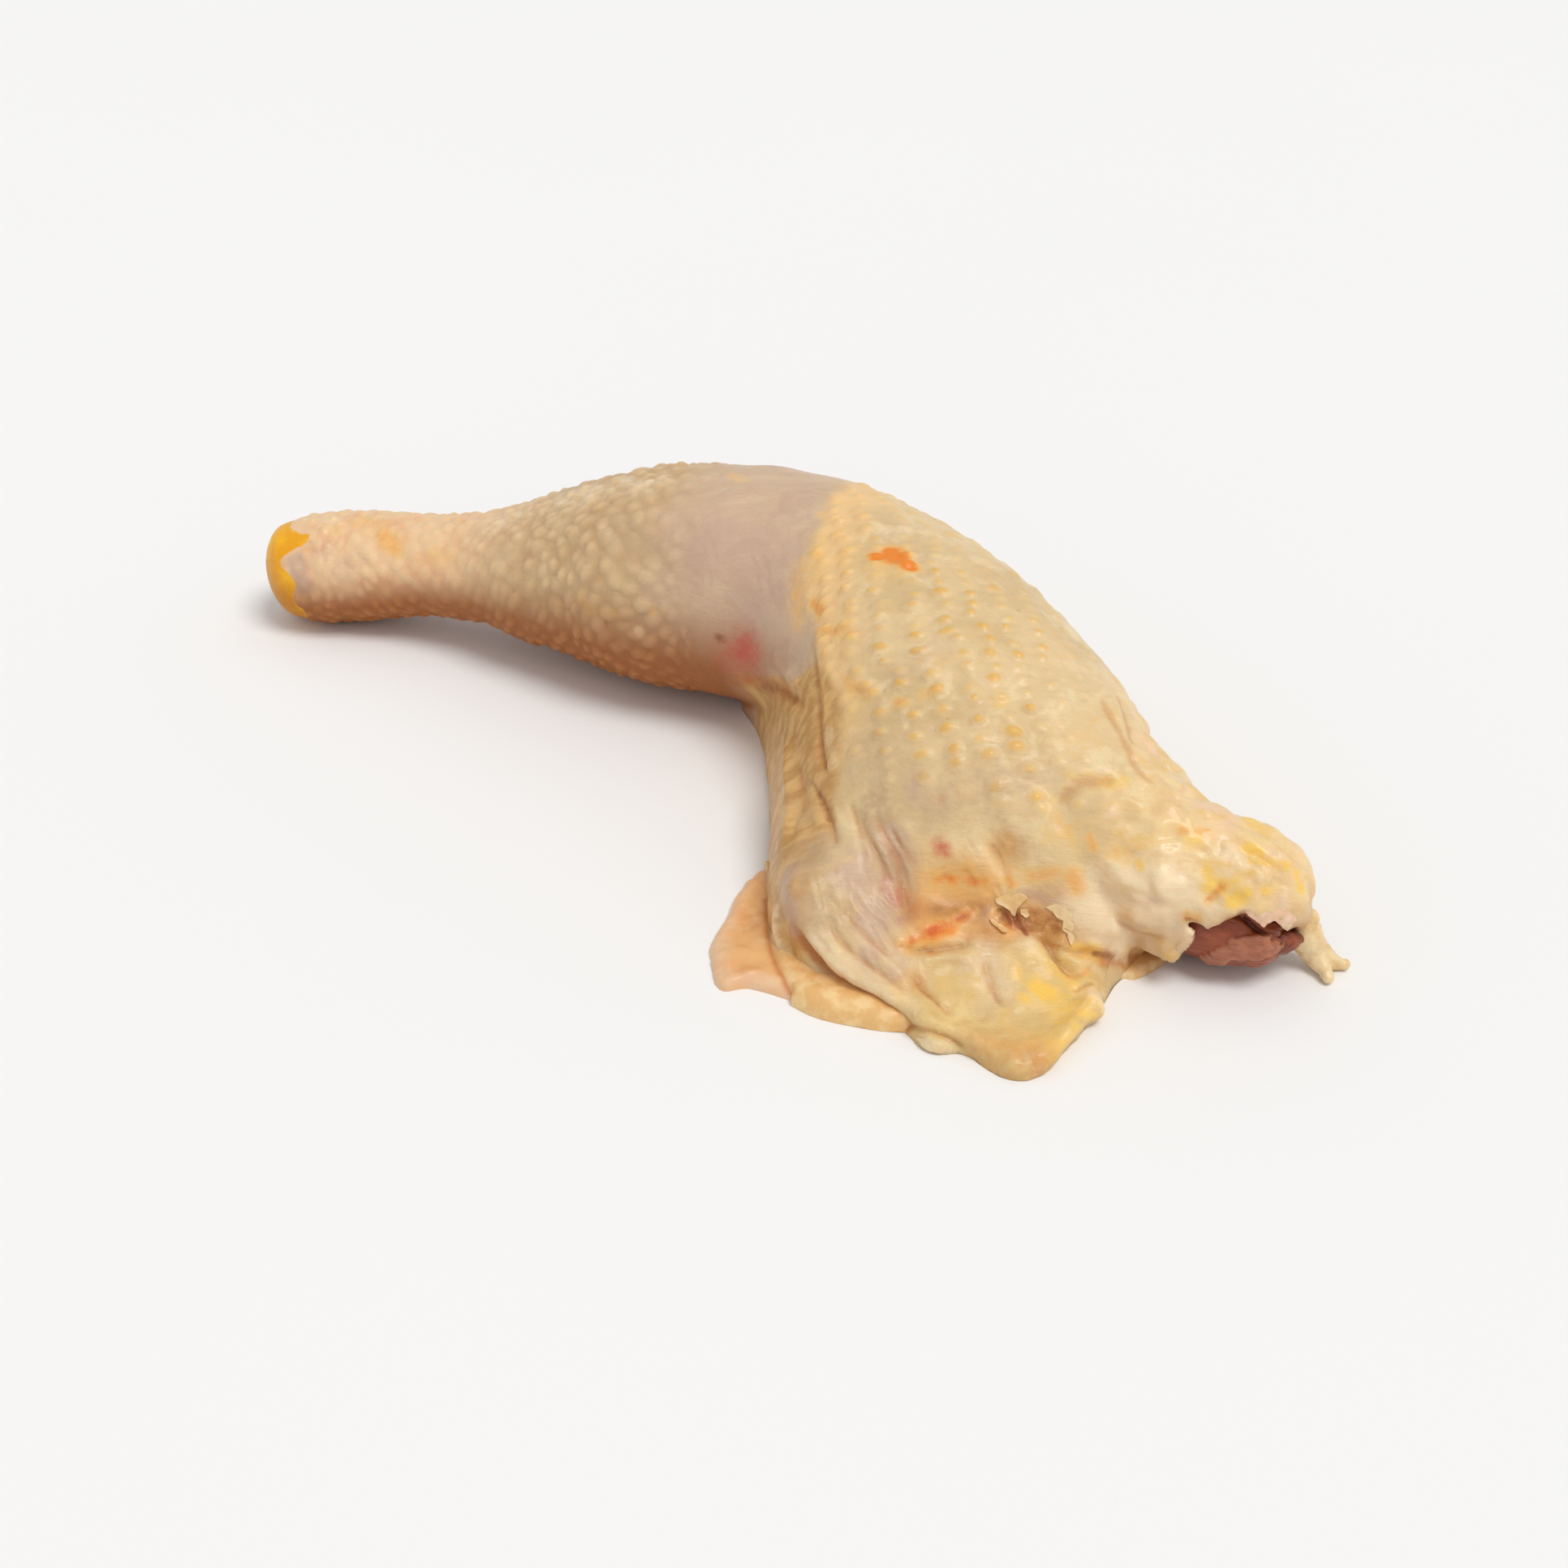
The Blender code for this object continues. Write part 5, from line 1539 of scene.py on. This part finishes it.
# Sums of wires, each with its weight: what stands for a kind of skin, together with that kind's own note.
SKIN_SUMS = {
    "fleck": ("thigh_bump", {"always": 0.7, "fine": 0.6}),
    "banded": ("band", {"always": 0.1, "patchy": 1.0, "middling": 1.0}),
    "webbed": ("web", {"always": 0.6, "broad": 1.0}),
    # not thigh and shaded: where painted shade goes, on what faces down, weaker on the thigh and none on the
    # web.
    "not thigh": ("under", {"always": 1.0, "thigh": -0.6}),
    "shaded": ("not thigh", {"always": 1.0, "web": -1.0}),
}
ENDING = {"always": -0.15, "end": 1.0, "fine": 0.3}
WET = {"always": -0.3, "end": 1.0, "torn": 1.0, "lilac": 0.6, "fine": 0.6}
WET_EASE = (0.2, 1.1)

# Tones: a ground colour and the coats over it, each with how strong it is, where it lies (a name, or a name
# with the values between which it eases in, multiplied) and its colour or tone. Colours are as on a screen.
SKIN_TONES = {
    "thigh": ((218, 188, 138), [
        (1.0, [("broad", 0.38, 0.62)], (230, 201, 152)),
        (0.8, [("middling", 0.50, 0.70)], (240, 216, 170)),
        (0.5, [("patchy", 0.54, 0.72)], (234, 192, 122)),
        (0.22, [("ripples", 0.52, 0.75)], (204, 168, 124)),
        (0.20, [("thigh_bump", 0.05, 0.6)], (242, 216, 166)),
        (0.75, [("fleck", 0.25, 0.85)], (228, 176, 78)),
    ]),
    "drumstick": ((200, 163, 118), [
        (1.0, [("middling", 0.3, 0.7)], (212, 180, 136)),
        (0.9, ["knee"], (210, 180, 152)),
        (0.5, ["knee", ("streaky", 0.45, 0.7)], (224, 196, 162)),
        (0.6, ["knee", ("patchy", 0.50, 0.66)], (198, 166, 142)),
        (0.85, ["hock"], (244, 206, 162)),
        (0.6, ["hock", ("patchy", 0.46, 0.66)], (234, 172, 124)),
        (0.42, [("drumstick_bump", 0.05, 0.95)], (232, 204, 158)),
    ]),
    # web: the thin web's own tan, with painted shade and warm reflected light on its steep near side
    "web": ((196, 146, 80), [(1.0, [("streaky", 0.40, 0.62)], (222, 178, 112))]),
    "fat": ((234, 198, 142), [
        (1.0, [("middling", 0.38, 0.62)], (240, 212, 162)),
        (0.5, [("streaky", 0.54, 0.66)], (236, 190, 104)),
        (0.8, [("patchy", 0.52, 0.66)], (240, 206, 174)),
    ]),
    "flap": ((220, 188, 124), [
        (1.0, [("middling", 0.42, 0.62)], (236, 204, 140)),
        (0.6, [("patchy", 0.56, 0.68)], (238, 190, 92)),
    ]),
    # below: painted shade and painted warm light reflected up, on what faces down, a little lighter on the
    # drumstick's bumps.
    "below": ((158, 88, 20), [(0.25, [("drumstick_bump", 0.1, 0.9)], (206, 142, 84))]),
    "cap": ((240, 166, 0), [(1.0, [("middling", 0.4, 0.7)], (252, 192, 24))]),
    "all": ("drumstick", [
        (1.0, ["thigh"], "thigh"),
        (0.8, [("banded", 0.2, 1.1)], (246, 202, 140)),
        (0.95, [("webbed", 0.15, 0.85)], "web"),
        (1.0, [("ending", 0.3, 0.8)], "fat"),
        (0.85, ["flap"], "flap"),
        # ragged grey: painted shade, and the skin's own grey on the drumstick and web
        (0.75, [("ragged grey", 0.1, 0.9)], (190, 160, 124)),
        # ragged warm: painted warm shade and reflected light
        (0.85, [("ragged warm", 0.1, 0.9)], (200, 130, 64)),
        (0.70, [("ragged lilac", 0.1, 0.9)], (204, 170, 150)),
        # ragged cream: pale fat, with painted light and painted highlight flecks
        (0.8, [("ragged cream", 0.15, 0.8)], (248, 224, 186)),
        (0.85, [("ragged yellow", 0.15, 0.9)], (248, 202, 84)),
        # painted orange-brown shade in the creases
        (0.45, [("crease", 0.2, 1.0)], (200, 134, 70)),
        (0.4, [("torn", 0.1, 0.9), ("fine", 0.45, 0.6)], (214, 134, 88)),
        (0.60, [("ragged orange", 0.08, 0.55)], (242, 194, 118)),
        (0.70, [("ragged orange", 0.35, 0.95)], (238, 164, 74)),
        (0.90, [("ragged orange", 0.72, 1.40)], (238, 132, 14)),
        # painted shade and warm reflected light over what faces down
        (0.95, ["shaded"], "below"),
        (0.85, [("ragged red", 0.10, 1.3)], (202, 86, 66)),
        (1.0, [("ragged cap", 0.35, 0.65)], "cap"),
        # painted shade on the underside of the yellow cap
        (0.7, ["cap", "under"], (176, 104, 6)),
        # ragged brown: painted crease shade, and real dark specks
        (0.80, [("ragged brown", 0.2, 0.95)], (142, 78, 28)),
        (1.0, ["inside"], (176, 104, 84)),
    ]),
}
SKIN_HEIGHT = {"ripples": 0.7, "fine": 0.5, "grain": 0.14, "hairs": 0.45}
SKIN_BUMP = 0.00028
SKIN_SOCKETS = FLESH_GLOW | {
    "Roughness": {"always": 0.44, "broad": -0.06, "wet": -0.04, "fine": 0.10},
    "Coat Weight": {"always": 0.18, "wet": 0.14, "under": -0.18},
}


def skin_material():
    """Raw skin: cream on the thigh, greyer and pimpled on the drumstick, fatty at the end, with its marks."""
    skin = Recipe("raw_skin", SKIN_CLOUDS, ACROSS_THE_THIGH)
    broken = skin["fine"] + skin["middling"] - 1
    for name in MARKS:
        skin.named["ragged " + name] = skin[name] * (1 + broken * MARKS_RAGGED)
    skin.named["ragged cap"] = skin["cap"] * (1 + broken * CAP_RAGGED)
    for name, (note_name, weights) in SKIN_SUMS.items():
        skin.named[name] = skin[note_name] * skin.total(weights)
    skin.named["ending"] = skin.total(ENDING)
    skin.named["wet"] = skin.total(WET).eased(*WET_EASE)
    return skin.finish(SKIN_TONES, SKIN_HEIGHT, SKIN_BUMP, SKIN_SOCKETS)


# Plainer materials: their clouds, tones, what makes their height, their bump in metres, and their sockets.
MEAT = (
    {
        "streaky": ((0.010, 0.0011, 0.0011), 4.0, 0.6, 0.0),
        "broad": (0.008, 3.0, 0.5, 0.0),
        "fine": (0.0012, 3.0, 0.5, 0.0),
    },
    {
        "sheet": ((182, 112, 80), [(1.0, [("streaky", 0.3, 0.7)], (152, 88, 58))]),
        "all": ((146, 66, 30), [
            (1.0, [("streaky", 0.35, 0.7)], (164, 82, 46)),
            (0.5, [("broad", 0.5, 0.7)], (114, 48, 28)),
            (1.0, [("sheet", 0.3, 0.7)], "sheet"),
            # painted shade in the meat's grooves; the wet tissue's own dark patches use the same note
            (0.7, ["groove"], (92, 42, 26)),
        ]),
    },
    {"streaky": 0.7, "fine": 0.3},
    0.0004,
    FLESH_GLOW | {
        "Roughness": {"always": 0.36, "fine": 0.12}, "Subsurface Weight": 0.12, "Coat Weight": 0.32,
    },
)
FAT = (
    {"broad": (0.004, 3.0, 0.5, 0.0), "fine": (0.0008, 3.0, 0.5, 0.0)},
    {
        "all": ((236, 210, 162), [
            (1.0, [("broad", 0.4, 0.65)], (222, 182, 120)),
            (0.4, [("fine", 0.6, 0.8)], (250, 240, 212)),
        ]),
    },
    {"broad": 0.5, "fine": 0.5},
    0.0003,
    FLESH_GLOW | {
        "Roughness": {"always": 0.38, "fine": 0.12}, "Subsurface Weight": 0.06, "Coat Weight": 0.30,
    },
)
FLOOR = (
    {"cloud": (0.3, 2.0, 0.5, 0.0)},
    {"all": ((243, 243, 243), [(1.0, ["cloud"], (245, 245, 245))])},
    {"cloud": 1.0},
    0.0001,
    {"Roughness": {"always": 0.75, "cloud": 0.05}, "Specular IOR Level": 0.2},
)


# The smooth inner side of the skin, in three tones of its own, with its hem like the outer skin.
UNDER_SKIN = (
    {
        "broad": (0.012, 3.0, 0.5, 0.0),
        "middling": (0.004, 4.0, 0.55, 0.0),
        "fine": (0.0012, 3.0, 0.5, 0.0),
    },
    {
        "hem": ((232, 184, 118), [
            (1.0, [("middling", 0.40, 0.62)], (244, 208, 150)),
            # painted warm shade by the hem's crease
            (0.7, ["deep", ("broad", 0.3, 0.6)], (208, 130, 54)),
        ]),
        "all": ("plain", [
            (1.0, [("broad", 0.35, 0.65)], "darker"),
            (0.5, [("middling", 0.5, 0.72)], "paler"),
            (0.3, [("fine", 0.6, 0.8)], "darker"),
            (0.6, ["rim"], (240, 206, 178)),
            (1.0, ["hem"], "hem"),
            # painted shadow line under the rolled hem
            (0.7, ["line"], (196, 114, 44)),
        ]),
    },
    {"middling": 0.6, "fine": 0.4},
    0.0003,
    FLESH_GLOW | {
        "Roughness": {"always": 0.42, "fine": 0.12}, "Subsurface Weight": 0.06, "Coat Weight": 0.22,
    },
)
UNDER_SKIN_TONES = {
    "peach": {"plain": (234, 182, 120), "darker": (228, 166, 104), "paler": (242, 206, 154)},
    "cream": {"plain": (236, 204, 154), "darker": (226, 180, 118), "paler": (246, 224, 186)},
    "pink": {"plain": (240, 204, 172), "darker": (230, 182, 146), "paler": (250, 226, 204)},
}


def material_of(name, plan, own_tones=None):
    """A material made by its plan, which may use tones of the material's own."""
    clouds, tones, height, bump, sockets = plan
    recipe = Recipe(name, clouds)
    for tone, colour in (own_tones or {}).items():
        recipe.tones[tone] = paint(*colour)
    return recipe.finish(tones, height, bump, sockets)


def wear(piece, node, material):
    """Gives the piece its material, makes it move with the leg, and hides the solid it stands for, if any."""
    piece.data.materials.clear()
    piece.data.materials.append(material)
    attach(piece, "root")
    if node:
        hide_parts(node)


# Half the floor's side in metres; where the sun shines from, its strength, width and colour; and how bright
# the even surround is.
FLOOR_HALF = 2.5
SUN_FROM = (0.42, -0.08, 0.90)
SUN_STRENGTH = 1.50
SUN_WIDTH = math.radians(26)
SUN_COLOUR = (1.0, 0.985, 0.96)
WORLD_GREY = 0.60


def make_studio():
    """The floor, a soft broad light from behind, an even pale surround and the camera."""
    h = FLOOR_HALF
    mesh = bpy.data.meshes.new("floor")
    mesh.from_pydata([(-h, -h, 0), (h, -h, 0), (h, h, 0), (-h, h, 0)], [], [(0, 1, 2, 3)])
    floor = bpy.data.objects.new("floor", mesh)
    bpy.context.scene.collection.objects.link(floor)
    mesh.materials.append(material_of("pale_floor", FLOOR))
    lamp = bpy.data.lights.new("soft_sun", "SUN")
    lamp.energy, lamp.angle, lamp.color = SUN_STRENGTH, SUN_WIDTH, SUN_COLOUR
    sun = bpy.data.objects.new("soft_sun", lamp)
    sun.matrix_world = looking(SUN_FROM, -np.array(SUN_FROM))
    bpy.context.scene.collection.objects.link(sun)
    world = bpy.data.worlds.new("surround")
    world.use_nodes = True
    world.node_tree.nodes["Background"].inputs["Color"].default_value = (*[WORLD_GREY] * 3, 1)
    bpy.context.scene.world = world
    camera = bpy.data.objects.new("camera", bpy.data.cameras.new("camera"))
    camera.data.lens = CAMERA_LENS
    camera.matrix_world = looking((np.array(CAMERA_PLACE) + CENTRE_SHIFT) * UNIT, camera_axes()[2])
    bpy.context.scene.collection.objects.link(camera)
    bpy.context.scene.camera = camera


def looking(place, ahead):
    """The place and turn of something that looks ahead with the world's up above it."""
    back = -unit_way(ahead)
    right = unit_way(np.cross((0, 0, 1), back))
    matrix = np.eye(4)
    matrix[:3] = np.column_stack([right, np.cross(back, right), back, place])
    return Matrix(matrix.tolist())


bpy.context.scene.view_settings.view_transform = "Standard"
make_studio()

skin = make_skin()
wear(skin, "leg_quarter", skin_material())

under = {
    colour: material_of(colour + "_skin", UNDER_SKIN, own_tones)
    for colour, own_tones in UNDER_SKIN_TONES.items()
}
for name, inner, thickness, edge in LAYERS:
    colour = "peach" if name == "lower_skin" else "cream"
    wear(make_layer(name, inner, thickness, edge), None, under[colour])
on_skin = tree_of(skin)
for name, colour, outline in SCRAPS:
    wear(make_scrap(name, on_skin, outline), None, under[colour])

flesh = material_of("dark_meat", MEAT)
wear(make_meat(), "thigh_meat", flesh)
wear(make_tissue(), None, flesh)
wear(make_strand(), "fat_strand", material_of("creamy_fat", FAT))
